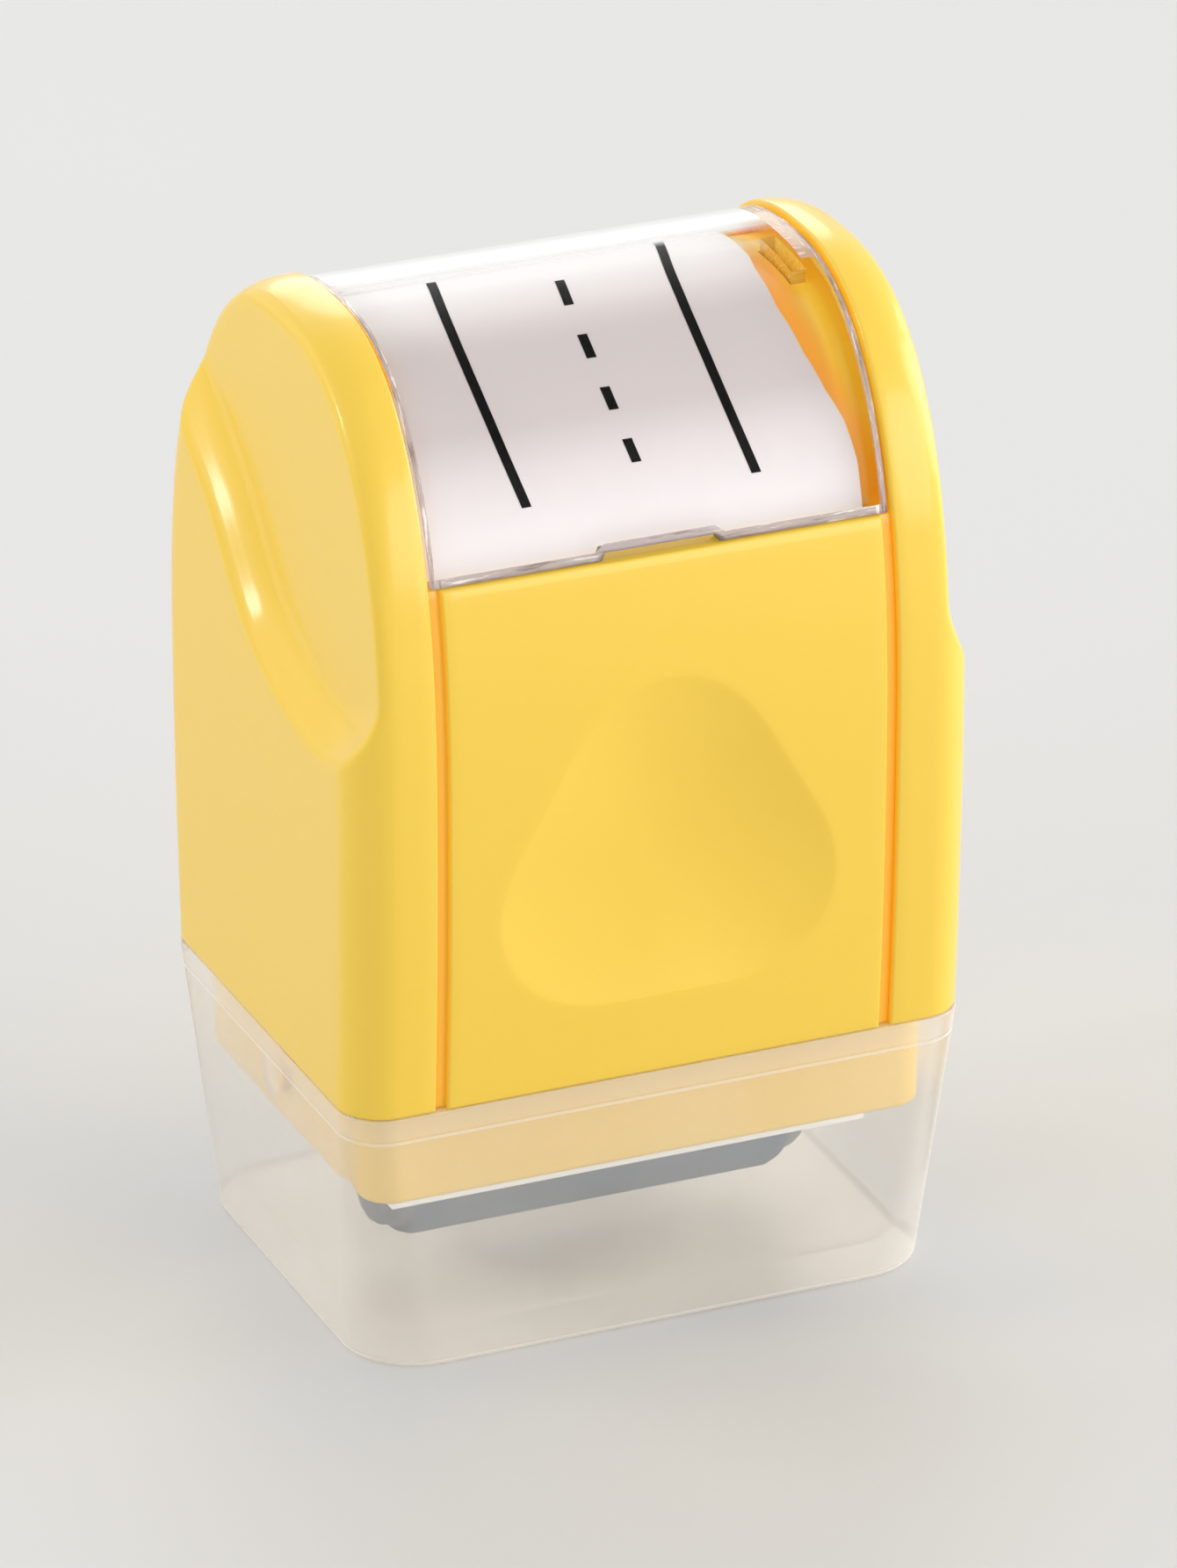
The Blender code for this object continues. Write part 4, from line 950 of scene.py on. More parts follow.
def makeShell():
    s, c = shellForm, cheekForm
    edge, inner = s["sideRound"], s["panelX"] - s["sideRound"]
    stations = [(s["flangeX"], s["flangeDepth"]), (s["grooveX"] + 0.02, s["flangeDepth"]),
                (s["grooveX"], s["grooveDepth"]), (s["panelX"], s["grooveDepth"])]
    stations += [(inner + edge * sine, edge * (1 - cosine)) for sine, cosine in quarter(4)[::-1]]
    count = round(2 * inner / s["columnStep"])
    middle = [(inner - 2 * inner * i / count, 0.0) for i in range(1, count)]
    stations += middle + [(-x, inset) for x, inset in reversed(stations)]
    form = loft([shellRing(x, inset) for x, inset in stations])
    width = s["dentEdge"]
    cutAlong(form, dentHeight, (-width, 0.0, width), 0.002)
    moves = {vertex: easeIn(dentHeight(vertex.co), width) for vertex in form.verts}
    for vertex, move in moves.items():
        vertex.co.y -= math.copysign(move, vertex.co.y)
    shell = newItem("centre_panels", form)
    stepZ, endX = s["panelTopZ"] - s["stepHeight"] + s["overrun"], s["panelX"] - s["holeInset"]
    lower = [(depthAt(s["webInset"], z), z) for z in (*s["webZ"], stepZ)]
    outline = bothSides(lower + aboveZ(s["deckInside"] - s["overrun"], stepZ, 1.6))
    webs, holes = [], []
    for side in (-1, 1):
        rings = [[(side * x, *point) for point in outline] for x in s["webX"]]
        webs.append(newItem("web", loft(rings)))
        holes.append(block(*legBox(side, legForm["gap"])))
        holes.append(rod(s["holeRadius"], (-endX, endX), (side * c["pegY"], c["pegZ"])))
    shape(shell, "UNION", *webs)
    shape(shell, "DIFFERENCE", *holes)
    paint(shell, "gap", gapShade)
    paint(shell, "glow", gapGlow)
    dress(shell, "yellow", "housing", "yellow_plastic", "centre_shell", sharp=34)


# Window

windowForm = {"sideX": 18.2, "drop": 0.4, "inside": 1.7, "footZ": 63.5, "notchHalf": 5.2,
              "notchSlope": 0.8, "notchTopZ": 64.05, "edge": 0.12, "step": 0.6, "footBand": 0.66,
              # line, lineShare and notchLine: a dark line painted along the lower edge, deepest in
              # the notch as painted shade
              "sideBand": 0.42, "line": 0.22, "lineShare": 0.3, "notchLine": 0.85,
              "overLegX": 16.7, "overLeg": (-5.5, 6.5)}


def stretch(line, low, high):
    # the part of a front-to-back line between two places
    kept = [point for point in line if low < point[0] < high]
    return [(low, between(line, low)), *kept, (high, between(line, high))]


def overFoot(x, y, z):
    # height over the window's lower edge, which steps up in its front notch
    w = windowForm
    into = min(max((w["notchHalf"] - abs(x)) / w["notchSlope"], 0.0), 1.0) if y < 0 else 0.0
    return z - w["footZ"] - into * (w["notchTopZ"] - w["footZ"])


def makeWindow():
    w = windowForm
    outline = bothSides(aboveZ(w["drop"], w["footZ"], w["step"]))
    outline += bothSides(aboveZ(w["inside"], w["footZ"], w["step"]))[::-1]
    half, slope = w["notchHalf"], w["notchSlope"]
    breaks = [half - slope, half, w["overLegX"], w["sideX"] - w["sideBand"], w["sideX"]]
    form = loft([[(x, *point) for point in outline] for x in [-x for x in breaks[::-1]] + breaks])
    cutAlong(form, lambda p: overFoot(*p), (w["line"], w["footBand"]))
    window = newItem("clear_window", form)
    zs = (w["footZ"] - 1, w["notchTopZ"])
    shape(window, "DIFFERENCE", block((-half, half), (-bodyForm["frontY"], 0), zs, slope))
    ceiling = bothSides(aboveZ(w["inside"] - 0.4, w["footZ"], 0.8))
    for side in (-1, 1):
        xs, ys, zs = legBox(side)
        outline = stretch(ceiling, *ys) + [(ys[1], zs[0]), (ys[0], zs[0])]
        leg = newItem("leg", loft([[(x, *point) for point in outline] for x in xs]))
        shape(window, "UNION", leg)
    soften(window, w["edge"], 2, 50)
    spots = treeOf(arch)

    def lookOf(face):
        x, y, z = face.center
        found, index, away = spots.find((0, -abs(y), z))
        ny, nz = arch[index][2:]
        across = face.normal.y * math.copysign(ny, -y) + face.normal.z * nz
        outer = away < w["drop"] + 0.1
        # bands along the outer face's foot and sides take the painted streaks of the cut edge
        band = abs(x) > w["sideX"] - w["sideBand"] or overFoot(x, y, z) < w["footBand"]
        if away > w["inside"] + 0.1:
            return 2
        if abs(across) < 0.85 or (outer and band):
            return 1
        # the right leg's root, as seen through the wall, is painted on the wall above it
        return 3 if outer and x > w["overLegX"] and w["overLeg"][0] < y < w["overLeg"][1] else 0

    # the dark line painted along the lower edge, deepest in the notch where it stands for shade
    def border(x, y, z):
        most = w["notchLine"] if abs(x) < half else w["lineShare"]
        return most * (1 - overFoot(x, y, z) / w["line"])

    coat(window, ("clear", "clearEdge", "clearLeg", "clearRoot"), lookOf)
    paint(window, "gap", border)
    dress(window, None, "window", "clear_plastic", "window", sharp=40)


makeShell()
makeWindow()
print("centre shell and window done")


# Label and its printed rules

ruleForm = {
    "width": 0.76, "lift": 0.02, "thickness": 0.02, "steps": 30, "step": 0.25,
    # (arc from the arch's spring, x) marks of each rule, its dash pitch and how much of it is ink
    "rules": [
        ([(21.74, -9.43), (23.87, -10.02), (26.00, -10.54), (28.18, -10.96), (30.41, -11.27),
          (32.82, -11.42), (35.63, -11.31), (39.39, -10.72), (44.98, -9.37)], 2.0, 1.0),
        ([(23.69, -0.38), (25.42, -0.81), (27.17, -1.19), (28.94, -1.49), (30.79, -1.71),
          (32.75, -1.81), (34.97, -1.74), (37.69, -1.40), (41.43, -0.58)], 0.2905, 0.44),
        ([(21.47, 8.82), (23.68, 8.20), (25.89, 7.65), (28.12, 7.21), (30.44, 6.90),
          (32.95, 6.77), (35.90, 6.95), (39.95, 7.71), (46.34, 9.50)], 2.0, 1.0),
    ],
}


def makeLabel():
    f = labelForm
    front, back = (bothSides(aboveZ(depth, f["footZ"], f["step"]))
                   for depth in (f["depth"], f["depth"] + f["thickness"]))
    rings = []
    for (y, z), (yIn, zIn) in zip(front, back):
        if y > f["endY"]:
            break
        left, right = between(f["left"], y), between(f["right"], y)
        rings.append([(left, y, z), (right, y, z), (right, yIn, zIn), (left, yIn, zIn)])
    label = newItem("line_label", loft(rings))
    dress(label, "paper", "housing", "label_paper", "label", sharp=40)


def ruleTree():
    # a flat strip along a path, cut into dashes
    graph, inlet, keys = newTree("printedRule", "Path", "Rule", {
        "Rule width": "Float", "Dash pitch": "Float", "Dash share": "Float", "Step": "Float",
        "Ink": "Material",
    })
    along = graph.node("GeometryNodeInputIndex") * inlet.also("Step")
    kinds = {"data_type": "FLOAT", "domain": "POINT"}
    noted = graph.node("GeometryNodeStoreNamedAttribute", kinds, {
        "Geometry": inlet, "Name": "along", "Value": along,
    })
    line = graph.node("GeometryNodeCurveToMesh", values={"Curve": noted})
    width, pitch = inlet.also("Rule width"), inlet.also("Dash pitch")
    values = {"Geometry": line, "Offset": graph.vector(X=width * -0.5)}
    moved = graph.node("GeometryNodeSetPosition", values=values)
    values = {"Mesh": moved, "Offset": graph.vector(X=width), "Offset Scale": 1.0}
    strip = graph.node("GeometryNodeExtrudeMesh", {"mode": "EDGES"}, values)
    at = graph.node("GeometryNodeInputNamedAttribute", {"data_type": "FLOAT"}, {"Name": "along"})
    values = {"Geometry": strip, "Selection": (at % pitch).above(pitch * inlet.also("Dash share"))}
    dashed = graph.node("GeometryNodeDeleteGeometry", {"domain": "FACE"}, values)
    endTree(graph, dashed, inlet.also("Ink"))
    return graph.tree, keys


def makeRules():
    tree, keys = ruleTree()
    r = ruleForm
    surface = bothSides(aboveZ(labelForm["depth"] - r["lift"], bodyForm["springZ"], r["step"]))
    lengths = runOf(surface)
    depths, heights = ([(at, point[k]) for at, point in zip(lengths, surface)] for k in (0, 1))
    form = bmesh.new()
    for marks, pitch, share in r["rules"]:
        line = smoothLine(marks, r["steps"])
        curve = bpy.data.curves.new("rulePath", "CURVE")
        curve.dimensions = "3D"
        spline = curve.splines.new("POLY")
        spline.points.add(len(line) - 1)
        for target, (at, x) in zip(spline.points, line):
            target.co = (x, between(depths, at), between(heights, at), 1.0)
        plain = runTree(addObject("rulePath", curve), tree, keys, {
            "Rule width": r["width"], "Dash pitch": pitch, "Dash share": share,
            "Step": 1 / (len(line) - 1), "Ink": looks["ink"],
        })
        form.from_mesh(plain.data)
        bpy.data.objects.remove(plain, do_unlink=True)
    bmesh.ops.remove_doubles(form, verts=form.verts, dist=0.001)
    rules = newItem("printed_rules", form)
    wall = rules.modifiers.new("ink", "SOLIDIFY")
    wall.thickness = r["thickness"]
    wall.offset = 0.0
    dress(bake(rules), "ink", "housing", "label_paper", sharp=40)


makeLabel()
makeRules()
print("label and rules done")


# Skirt, cap and screws

skirtForm = {"halfX": 22.8, "halfY": 16.5, "wall": 1.4, "radius": 2.5, "footZ": 13.5, "topZ": 33.0,
             "footRound": 0.4, "ledgeReach": 1.5, "ledgeWidth": 10.0, "ledgeTopZ": 22.9,
             "ledgeHeight": 1.6, "snapRadius": 1.4, "snapDepth": 0.6, "snapZ": 17.5,
             "earHeight": 2.0, "earRadius": 1.4, "holeRadius": 0.85, "overrun": 0.4}
capForm = {"topZ": 21.82, "taperX": 1.7, "taperY": 1.2, "halfX": 25.1, "halfY": 19.0, "radius": 3.3,
           "footRadius": 5.8, "wall": 1.1, "rimExtra": 0.4, "rimBand": 1.7, "floor": 1.3,
           "fillet": 3.6, "footRound": 0.5, "rimRound": 0.18, "dimpleRadius": 1.7, "dimple": 0.3,
           "outerRings": 10}


def roundedBox(halfX, halfY, radius, z, steps=14):
    points = []
    for sideX, sideY, start in ((1, -1, 270), (1, 1, 0), (-1, 1, 90), (-1, -1, 180)):
        for i in range(steps + 1):
            angle = math.radians(start + 90 * i / steps)
            points.append((sideX * (halfX - radius) + radius * math.cos(angle),
                           sideY * (halfY - radius) + radius * math.sin(angle), z))
    return points


def makeSkirt():
    s, c = skirtForm, cheekForm

    def ring(inset, z):
        return roundedBox(s["halfX"] - inset, s["halfY"] - inset, s["radius"] - inset, z)

    rings = [ring(inset, s["footZ"] + rise) for rise, inset in footRows(s["footRound"], 5)]
    rings += [ring(0, s["topZ"]), ring(s["wall"], s["topZ"]), ring(s["wall"], s["footZ"])]
    skirt = newItem("skirt_collar", loft(rings, closed=True))
    innerX, innerY = s["halfX"] - s["wall"], s["halfY"] - s["wall"]
    forms, holes, over, half = [], [], s["overrun"], s["ledgeWidth"] / 2
    ledge = (s["ledgeTopZ"] - s["ledgeHeight"], s["ledgeTopZ"])
    ear = (s["topZ"] - s["earHeight"], s["topZ"])
    for side in (-1, 1):
        xs = ordered(side, innerX - s["ledgeReach"], innerX + over)
        forms.append(block(xs, (-half, half), ledge))
        ends = ordered(side, s["halfX"] - over, s["halfX"] + s["snapDepth"])
        forms.append(rod(s["snapRadius"], ends, (0, s["snapZ"])))
        for ySide in (-1, 1):
            xs = ordered(side, c["bossX"] - s["earRadius"], innerX + over)
            ys = ordered(ySide, c["bossY"] - s["earRadius"], innerY + over)
            forms.append(block(xs, ys, ear))
            spot = (side * c["bossX"], ySide * c["bossY"])
            holes.append(rod(s["holeRadius"], (ear[0] - 1, ear[1] + 1), spot, "Z"))
    shape(skirt, "UNION", *forms)
    shape(skirt, "DIFFERENCE", *holes)
    dress(skirt, "yellow", "housing", "yellow_plastic", "skirt")


def capRing(z, inset):
    c = capForm
    taper = 1 - z / c["topZ"]
    radius = c["radius"] + (c["footRadius"] - c["radius"]) * taper - inset
    halfX, halfY = c["halfX"] - c["taperX"] * taper, c["halfY"] - c["taperY"] * taper
    return roundedBox(halfX - inset, halfY - inset, radius, z)


def makeCap():
    c = capForm
    edge, wall, reach = c["rimRound"], c["wall"], c["fillet"]
    rimWall, bandZ, edgeZ = wall + c["rimExtra"], c["topZ"] - c["rimBand"], c["topZ"] - edge
    rings = [capRing(rise, inset) for rise, inset in footRows(c["footRound"], 5)]
    for sine, cosine in quarter(3):
        rings.append(capRing(edgeZ + edge * sine, edge * (1 - cosine)))
    for sine, cosine in quarter(3)[::-1]:
        rings.append(capRing(edgeZ + edge * sine, rimWall - edge * (1 - cosine)))
    rings += [capRing(bandZ, rimWall), capRing(bandZ - c["rimExtra"], wall)]
    for sine, cosine in quarter(10):
        rings.append(capRing(c["floor"] + reach * (1 - sine), wall + reach * (1 - cosine)))
    cap = newItem("frosted_cap", loft(rings))
    # the faces stand in the rings' order, then the outer and the inner floor
    firstInside, outerFloor = c["outerRings"] * len(rings[0]), len(cap.data.polygons) - 2
    coat(cap, ("frosted", "frostedInside"),
         lambda face: 1 if face.index >= firstInside and face.index != outerFloor else 0)
    wallX = max(x for x, y, z in capRing(skirtForm["snapZ"], wall))
    dimples = []
    for side in (-1, 1):
        ends = ordered(side, wallX - wall, wallX + c["dimple"])
        dimples.append(rod(c["dimpleRadius"], ends, (0, skirtForm["snapZ"])))
    shape(cap, "DIFFERENCE", *dimples)
    dress(cap, None, "cap", "frosted_plastic", "cap")


screwForm = {"radius": 0.8, "headRadius": 1.4, "headHeight": 1.0, "headZ": 30.7, "tipZ": 39.0,
             "headRound": 0.2, "crossLength": 1.7, "crossWidth": 0.4, "crossDepth": 0.5}


def screwTree():
    # the same screw at each corner of a grid of two by two points
    inputs = {"Spacing X": "Float", "Spacing Y": "Float", "Metal": "Material"}
    graph, inlet, keys = newTree("skirtScrews", "Screw", "Screws", inputs)
    corners = graph.node("GeometryNodeMeshGrid", values={
        "Size X": inlet.also("Spacing X"), "Size Y": inlet.also("Spacing Y"),
        "Vertices X": 2, "Vertices Y": 2,
    })
    values = {"Points": corners, "Instance": inlet}
    endTree(graph, graph.node("GeometryNodeInstanceOnPoints", values=values), inlet.also("Metal"))
    return graph.tree, keys


def makeScrews():
    s, footZ = screwForm, screwForm["headZ"] - screwForm["headHeight"]
    ends = (s["headZ"] - 0.2, s["tipZ"])
    screw = rod(s["radius"], ends, (0, 0), "Z", 24, "skirt_screws")
    head = rod(s["headRadius"], (footZ, s["headZ"]), (0, 0), "Z", 40)
    soften(head, s["headRound"], 3)
    shape(screw, "UNION", head)
    sizes, zs = (s["crossWidth"] / 2, s["crossLength"] / 2), (footZ - 1, footZ + s["crossDepth"])
    bars = [block((-a, a), (-b, b), zs) for a, b in (sizes, sizes[::-1])]
    shape(screw, "DIFFERENCE", *bars)
    runTree(screw, *screwTree(), {
        "Spacing X": 2 * cheekForm["bossX"], "Spacing Y": 2 * cheekForm["bossY"],
        "Metal": looks["steel"],
    })
    dress(screw, "steel", "housing", "steel", *[f"skirt_screw_{i}" for i in range(1, 5)])


makeSkirt()
makeCap()
makeScrews()
print("skirt, cap and screws done")


# Cartridge and rollers

rollerForm = {"printZ": 12.1, "inkZ": 28.9, "dieRadius": 8.2, "lineRadius": 8.7, "lineWidth": 0.7,
              "lineSpacing": 19.0, "lineRoot": 0.3, "dashes": 12, "dashShare": 0.42,
              "dieEndX": 14.6, "dieBore": 7.5, "drumRadius": 7.2, "drumBore": 5.2,
              "flangeRadius": 7.6, "flangeX": (14.9, 16.8),
              "flangeRounds": [0.15, 0.5, 0.12, 0, 0.2, 0.1], "spigot": 4.9, "spigotEndX": 12.1,
              "bore": 1.25, "shaftRadius": 1.2, "shaftEndX": 18.8, "coreRadius": 3.8,
              "foamRadius": 7.5, "foamBore": 4.1, "foamEndX": 15.2, "foamRound": 0.9,
              "foamSteps": 60, "washerRadius": 5.5, "washerX": (15.5, 16.5), "edge": 0.15}


def dieTree():
    # two raised rings and the broken line between them, about an axle along X
    graph, inlet, keys = newTree("raisedLines", "Start", "Lines", {
        "Radius": "Float", "Line width": "Float", "Line height": "Float", "Line spacing": "Float",
        "Dashes": "Int", "Dash share": "Float", "Axis height": "Float", "Rubber": "Material",
    })
    section = graph.node("GeometryNodeCurvePrimitiveQuadrilateral", {"mode": "RECTANGLE"}, {
        "Width": inlet.also("Line height"), "Height": inlet.also("Line width"),
    })
    circle = graph.node("GeometryNodeCurvePrimitiveCircle", {"mode": "RADIUS"}, {
        "Resolution": 120, "Radius": inlet.also("Radius"),
    })
    ring = graph.node("GeometryNodeCurveToMesh", values={"Curve": circle, "Profile Curve": section})
    spacing, count = inlet.also("Line spacing"), inlet.also("Dashes")
    pair = graph.node("GeometryNodeMeshLine", {"mode": "END_POINTS"}, {
        "Count": 2, "Start Location": graph.vector(Z=spacing * -0.5),
        "Offset": graph.vector(Z=spacing * 0.5),
    })
    rings = graph.node("GeometryNodeInstanceOnPoints", values={"Points": pair, "Instance": ring})
    pitch = 2 * math.pi / count
    arc = graph.node("GeometryNodeCurveArc", {"mode": "RADIUS"}, {
        "Resolution": 8, "Radius": inlet.also("Radius"), "Start Angle": 0.0,
        "Sweep Angle": pitch * inlet.also("Dash share"),
    })
    dash = graph.node("GeometryNodeCurveToMesh", values={
        "Curve": arc, "Profile Curve": section, "Fill Caps": True,
    })
    turn = graph.vector(Z=graph.node("GeometryNodeInputIndex") * pitch)
    dashes = graph.node("GeometryNodeInstanceOnPoints", values={
        "Points": graph.node("GeometryNodePoints", values={"Count": count}),
        "Instance": dash, "Rotation": turn,
    })
    joined = graph.node("GeometryNodeJoinGeometry", values={"Geometry": rings})
    graph.tree.links.new(dashes.socket, joined.socket.node.inputs["Geometry"])
    placed = graph.node("GeometryNodeTransform", values={
        "Geometry": joined, "Rotation": (0.0, math.pi / 2, 0.0),
        "Translation": graph.vector(Z=inlet.also("Axis height")),
    })
    endTree(graph, placed, inlet.also("Rubber"))
    return graph.tree, keys


def makeDie():
    r = rollerForm
    die = sleeve("line_die", r["dieRadius"], r["dieBore"], r["dieEndX"], r["printZ"], 0.12)
    dress(die, "rubber", "print_roller", "die_rubber", "print_die")
    height = r["lineRadius"] - r["dieRadius"] + r["lineRoot"]
    lines = runTree(newItem("die_lines", bmesh.new()), *dieTree(), {
        "Radius": r["lineRadius"] - height / 2, "Line width": r["lineWidth"],
        "Line height": height, "Line spacing": r["lineSpacing"], "Dashes": r["dashes"],
        "Dash share": r["dashShare"], "Axis height": r["printZ"], "Rubber": looks["rubber"],
    })
    form = bmesh.new()
    form.from_mesh(lines.data)
    bmesh.ops.remove_doubles(form, verts=form.verts, dist=0.001)
    bmesh.ops.recalc_face_normals(form, faces=form.faces)
    form.to_mesh(lines.data)
    form.free()
    soften(lines, 0.06, 2, 50)
    dress(lines, "rubber", "print_roller", "die_rubber")


def makeRollers():
    r = rollerForm
    drum = sleeve("roller_drum", r["drumRadius"], r["drumBore"], r["dieEndX"], r["printZ"])
    dress(drum, "grey", "print_roller", "grey_plastic", "print_drum")
    (inner, outer), tip = r["flangeX"], r["spigotEndX"]
    for name, side in sides.items():
        outline = [(outer, r["bore"]), (outer, r["flangeRadius"]), (inner, r["flangeRadius"]),
                   (inner, r["spigot"]), (tip, r["spigot"]), (tip, r["bore"])]
        outline = rounded([(side * x, radius) for x, radius in outline], r["flangeRounds"], 4)
        flange = lathe(f"roller_flange_{name}", outline, r["printZ"])
        dress(flange, "grey", "print_roller", "grey_plastic", f"print_flange_{name}")
    for name, axisZ in (("print", r["printZ"]), ("ink", r["inkZ"])):
        ends = (-r["shaftEndX"], r["shaftEndX"])
        shaft = rod(r["shaftRadius"], ends, (0, axisZ), steps=48, name=f"{name}_shaft")
        soften(shaft, r["edge"], 3)
        dress(shaft, "steel", "housing", "steel", f"{name}_axle")
    core = sleeve("foam_core", r["coreRadius"], r["bore"], outer, r["inkZ"])
    dress(core, "grey", "ink_roller", "grey_plastic", "ink_core")
    near, far = r["washerX"]
    for name, side in sides.items():
        outline = [(side * near, r["foamBore"]), (side * near, r["washerRadius"]),
                   (side * far, r["washerRadius"]), (side * far, r["foamBore"])]
        washer = lathe(f"foam_washer_{name}", rounded(outline, r["edge"], 3), r["inkZ"])
        dress(washer, "grey", "ink_roller", "grey_plastic", f"ink_washer_{name}")


def makeFoam():
    # a sleeve of foam with soft ends, its skin open-pored and a little uneven
    r = rollerForm
    end, outer, inner, edge = r["foamEndX"], r["foamRadius"], r["foamBore"], r["foamRound"]
    corners = [(-end, inner), (-end, outer), (end, outer), (end, inner)]
    outline = rounded(corners, [0.2, edge, edge, 0.2], 6)
    top = max(i for i, (x, radius) in enumerate(outline) if x < 0 and radius > outer - 0.001)
    length, count = 2 * (end - edge), r["foamSteps"]
    middle = [(-end + edge + length * k / count, outer) for k in range(1, count)]
    outline = outline[:top + 1] + middle + outline[top + 1:]
    foam = lathe("foam_sleeve", outline, r["inkZ"], 120)
    for vertex in foam.data.vertices:
        y, z = vertex.co.y, vertex.co.z - r["inkZ"]
        radius = math.hypot(y, z)
        if radius > inner + 0.5:
            dip = 0.05 + 0.05 * noise.noise(vertex.co * 1.4) + 0.04 * noise.noise(vertex.co * 3.1)
            vertex.co.y -= y / radius * dip
            vertex.co.z -= z / radius * dip
    dress(foam, "foam", "ink_roller", "ink_foam", "ink_foam", sharp=60)


lipForm = {"endX": 19.4, "outerY": 12.3, "innerY": 11.3, "lowZ": 10.9, "highZ": 11.35,
           "slotX": 17.2, "slotY": 11.35, "slotTopZ": 12.7, "wallY": 11.75}


def makeCartridge():
    # the wiper lip along the frame's lower edge stands off the wall, under a groove whose faces are
    # painted black as shade
    f, housing = lipForm, refined("cartridge_frame", 0.12, "ink_frame")
    slotX, endX, slotZ = f["slotX"], f["endX"], (f["highZ"] - 0.05, f["slotTopZ"])
    for side in (-1, 1):
        ys = ordered(side, f["outerY"] + 1, f["slotY"])
        shape(housing, "DIFFERENCE", block((-slotX, slotX), ys, slotZ))
        ys = ordered(side, f["outerY"], f["innerY"])
        shape(housing, "UNION", block((-endX, endX), ys, (f["lowZ"], f["highZ"])))
    # a painted glow on the lip's front face
    paint(housing, "glow", lambda x, y, z: 1.0 if abs(y) > f["outerY"] - 0.1 else 0.0)

    # the groove's faces take the black ink look, as painted shade
    def inGroove(face):
        x, y, z = face.center
        deep = f["slotY"] - 0.05 < abs(y) < f["wallY"] and abs(x) < slotX + 0.1
        return 1 if deep and slotZ[0] - 0.05 < z < slotZ[1] + 0.05 else 0

    coat(housing, ("white", "ink"), inGroove)
    dress(housing, None, "housing", "white_plastic", "cartridge_frame")
    for name in sides:
        plate = refined(f"cartridge_end_{name}", 0.15, f"ink_plate_{name}")
        dress(plate, "white", "housing", "white_plastic", f"cartridge_end_{name}")


makeDie()
makeRollers()
makeFoam()
makeCartridge()
print("cartridge and rollers done")


# Floor, lamps and camera

floorForm = {"half": 1500.0, "z": -0.02, "light": (0.662, 0.661, 0.656),
             "deep": (0.642, 0.641, 0.635)}
skyForm = {"seen": (0.90, 0.90, 0.89), "tint": (1.0, 1.0, 0.995), "fill": 0.54}
# where each lamp stands as seen from the stamp's middle; a plain one makes no highlights
lampRig = {
    "rightWall": {"toward": (0.97, -0.02, 0.22), "distance": 0.60, "size": 0.45, "watts": 1.35},
    "rightFront": {"toward": (0.85, -0.40, 0.35), "distance": 0.65, "size": 0.40, "watts": 1.30},
    "frontSoft": {"toward": (0.47, -0.84, 0.29), "distance": 0.70, "size": 0.40, "watts": 1.02},
    "backLeft": {"toward": (-0.71, 0.56, 0.42), "distance": 0.60, "size": 0.30, "watts": 0.81,
                 "plain": True},
    "leftSmall": {"toward": (-0.89, 0.13, 0.43), "distance": 0.60, "size": 0.10, "watts": 0.40},
    "leftFront": {"toward": (-0.67, -0.40, 0.63), "distance": 0.60, "size": 0.30, "watts": 0.38,
                  "plain": True},
    "backWall": {"toward": (0.25, 0.85, 0.45), "distance": 0.80, "size": 0.50, "watts": 1.40},
}
lampAim = Vector((0.0, 0.0, 0.040))
view = {"azimuth": -23.262, "elevation": 24.706, "place": (-0.27797, -0.65107, 0.36295),
        "lens": 315.8, "sensor": 36.0, "far": 20.0}


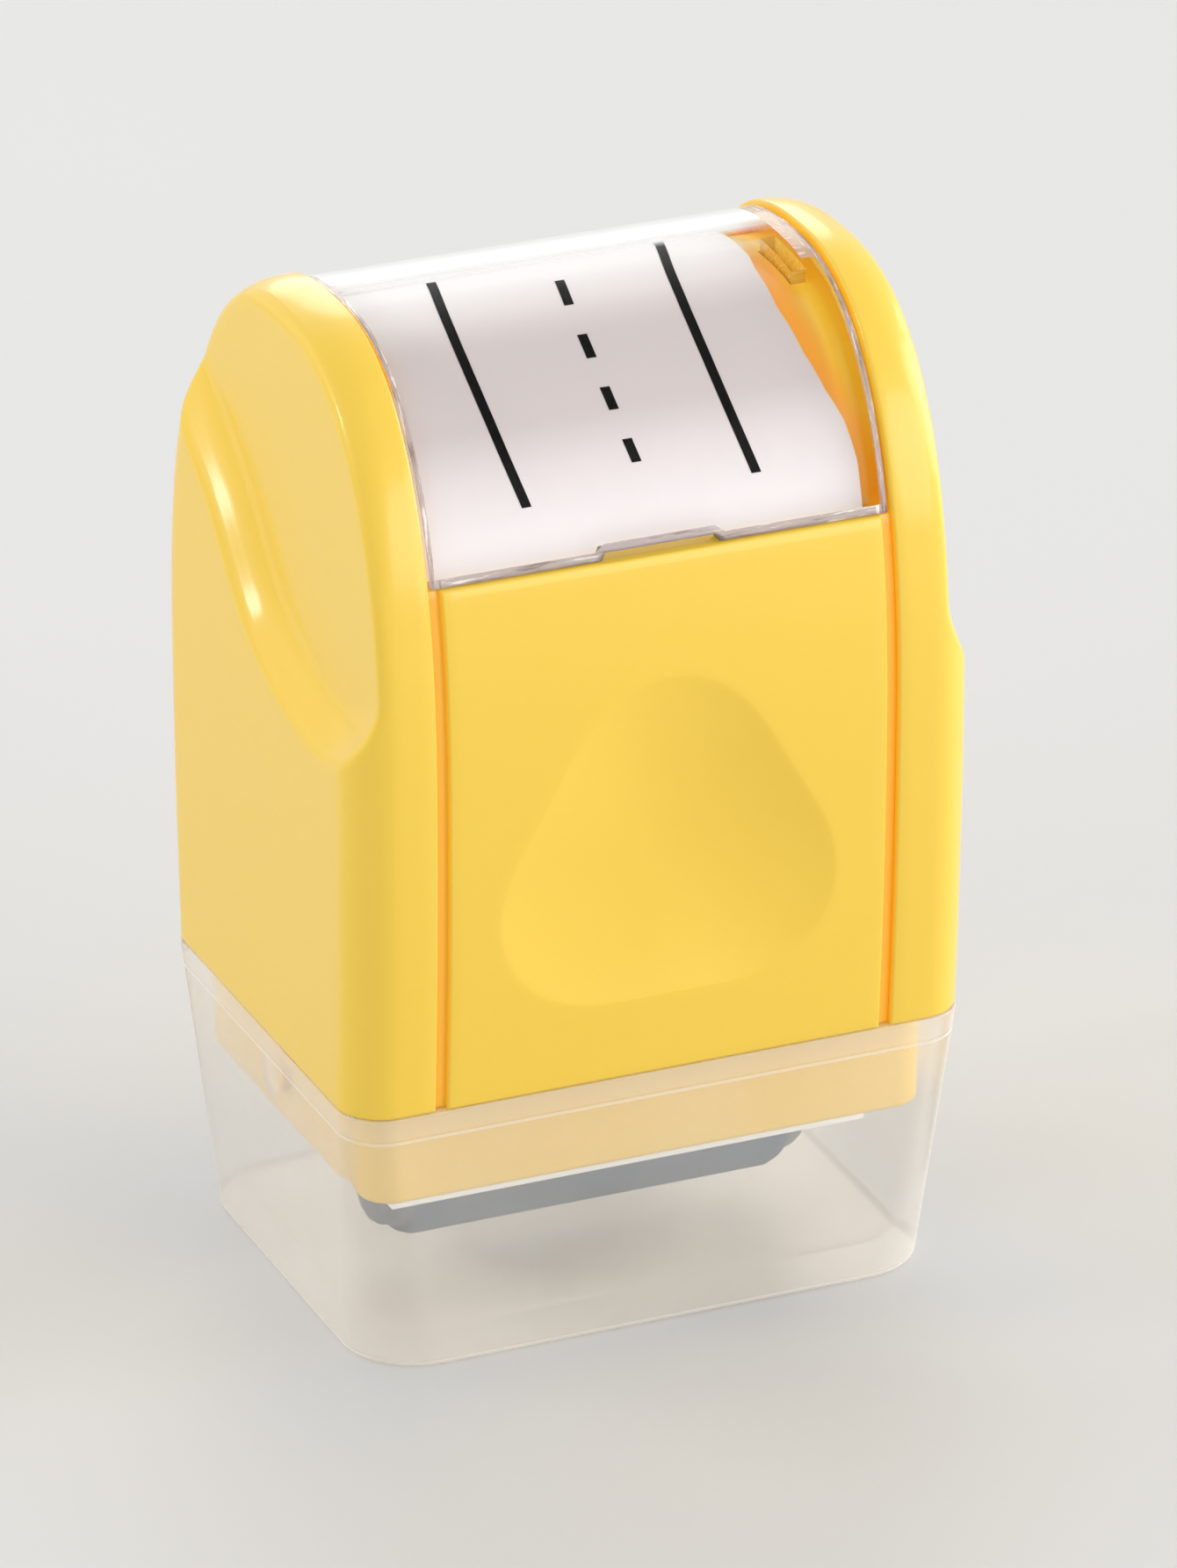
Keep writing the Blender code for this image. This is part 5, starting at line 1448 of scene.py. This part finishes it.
def makeFloor():
    f, graph = floorForm, newLook("paleFloor")
    cloud, paper = graph.grain(60.0, 3.0), graph.grain(1.2, 3.0)
    tone = graph.blend(cloud * 0.8 + paper * 0.2, f["deep"], f["light"])
    relief = graph.relief(paper, 0.3, 0.02)
    material = graph.done(graph.skin(tone, graph.spread(cloud, 0.55, 0.65), relief))
    form = bmesh.new()
    corners = ((-1, -1), (1, -1), (1, 1), (-1, 1))
    form.faces.new([form.verts.new((x * f["half"], y * f["half"], f["z"])) for x, y in corners])
    mesh = bpy.data.meshes.new("floor")
    form.to_mesh(mesh)
    form.free()
    mesh.transform(Matrix.Scale(millimetre, 4))
    mesh.materials.append(material)
    addObject("floor", mesh)


def makeLight():
    world = bpy.data.worlds.new("studio")
    world.use_nodes = True
    world.node_tree.nodes.clear()
    scene.world = world
    graph = Graph(world.node_tree)
    path = graph.node("ShaderNodeLightPath", out="Is Camera Ray")
    seen = path.most(path.also("Is Glossy Ray")).most(path.also("Is Transmission Ray"))
    seen = seen * (1.0 - path.also("Diffuse Depth").above(0.5))
    skies = ((skyForm["tint"], skyForm["fill"]), (skyForm["seen"], 1.0))
    fill, backdrop = (graph.node("ShaderNodeBackground", values={"Color": tint, "Strength": power})
                      for tint, power in skies)
    graph.node("ShaderNodeOutputWorld", values={"Surface": graph.mix(seen, fill, backdrop)})
    for name, lamp in lampRig.items():
        data = bpy.data.lights.new(name, "AREA")
        data.shape = "DISK"
        data.size = lamp["size"]
        data.energy = lamp["watts"]
        item = addObject(name, data)
        item.visible_transmission = False  # its light passes the clear pieces as shadow rays
        item.visible_glossy = not lamp.get("plain", False)
        toward = Vector(lamp["toward"]).normalized()
        item.location = lampAim + toward * lamp["distance"]
        item.rotation_euler = toward.to_track_quat("Z", "Y").to_euler()


def placeCamera():
    turn, tilt = math.radians(view["azimuth"]), math.radians(view["elevation"])
    right, level = Vector((math.cos(turn), math.sin(turn), 0)), math.cos(tilt)
    back = Vector((math.sin(turn) * level, -math.cos(turn) * level, math.sin(tilt)))
    data = bpy.data.cameras.new("photoView")
    data.sensor_fit = "HORIZONTAL"
    data.sensor_width = view["sensor"]
    data.lens = view["lens"]
    data.clip_end = view["far"]
    camera = addObject("photoView", data)
    turned = Matrix((right, back.cross(right), back)).transposed().to_4x4()
    camera.matrix_world = Matrix.Translation(view["place"]) @ turned
    scene.camera = camera


makeFloor()
makeLight()
placeCamera()
scene.view_settings.view_transform = "Standard"
print("scene ready")
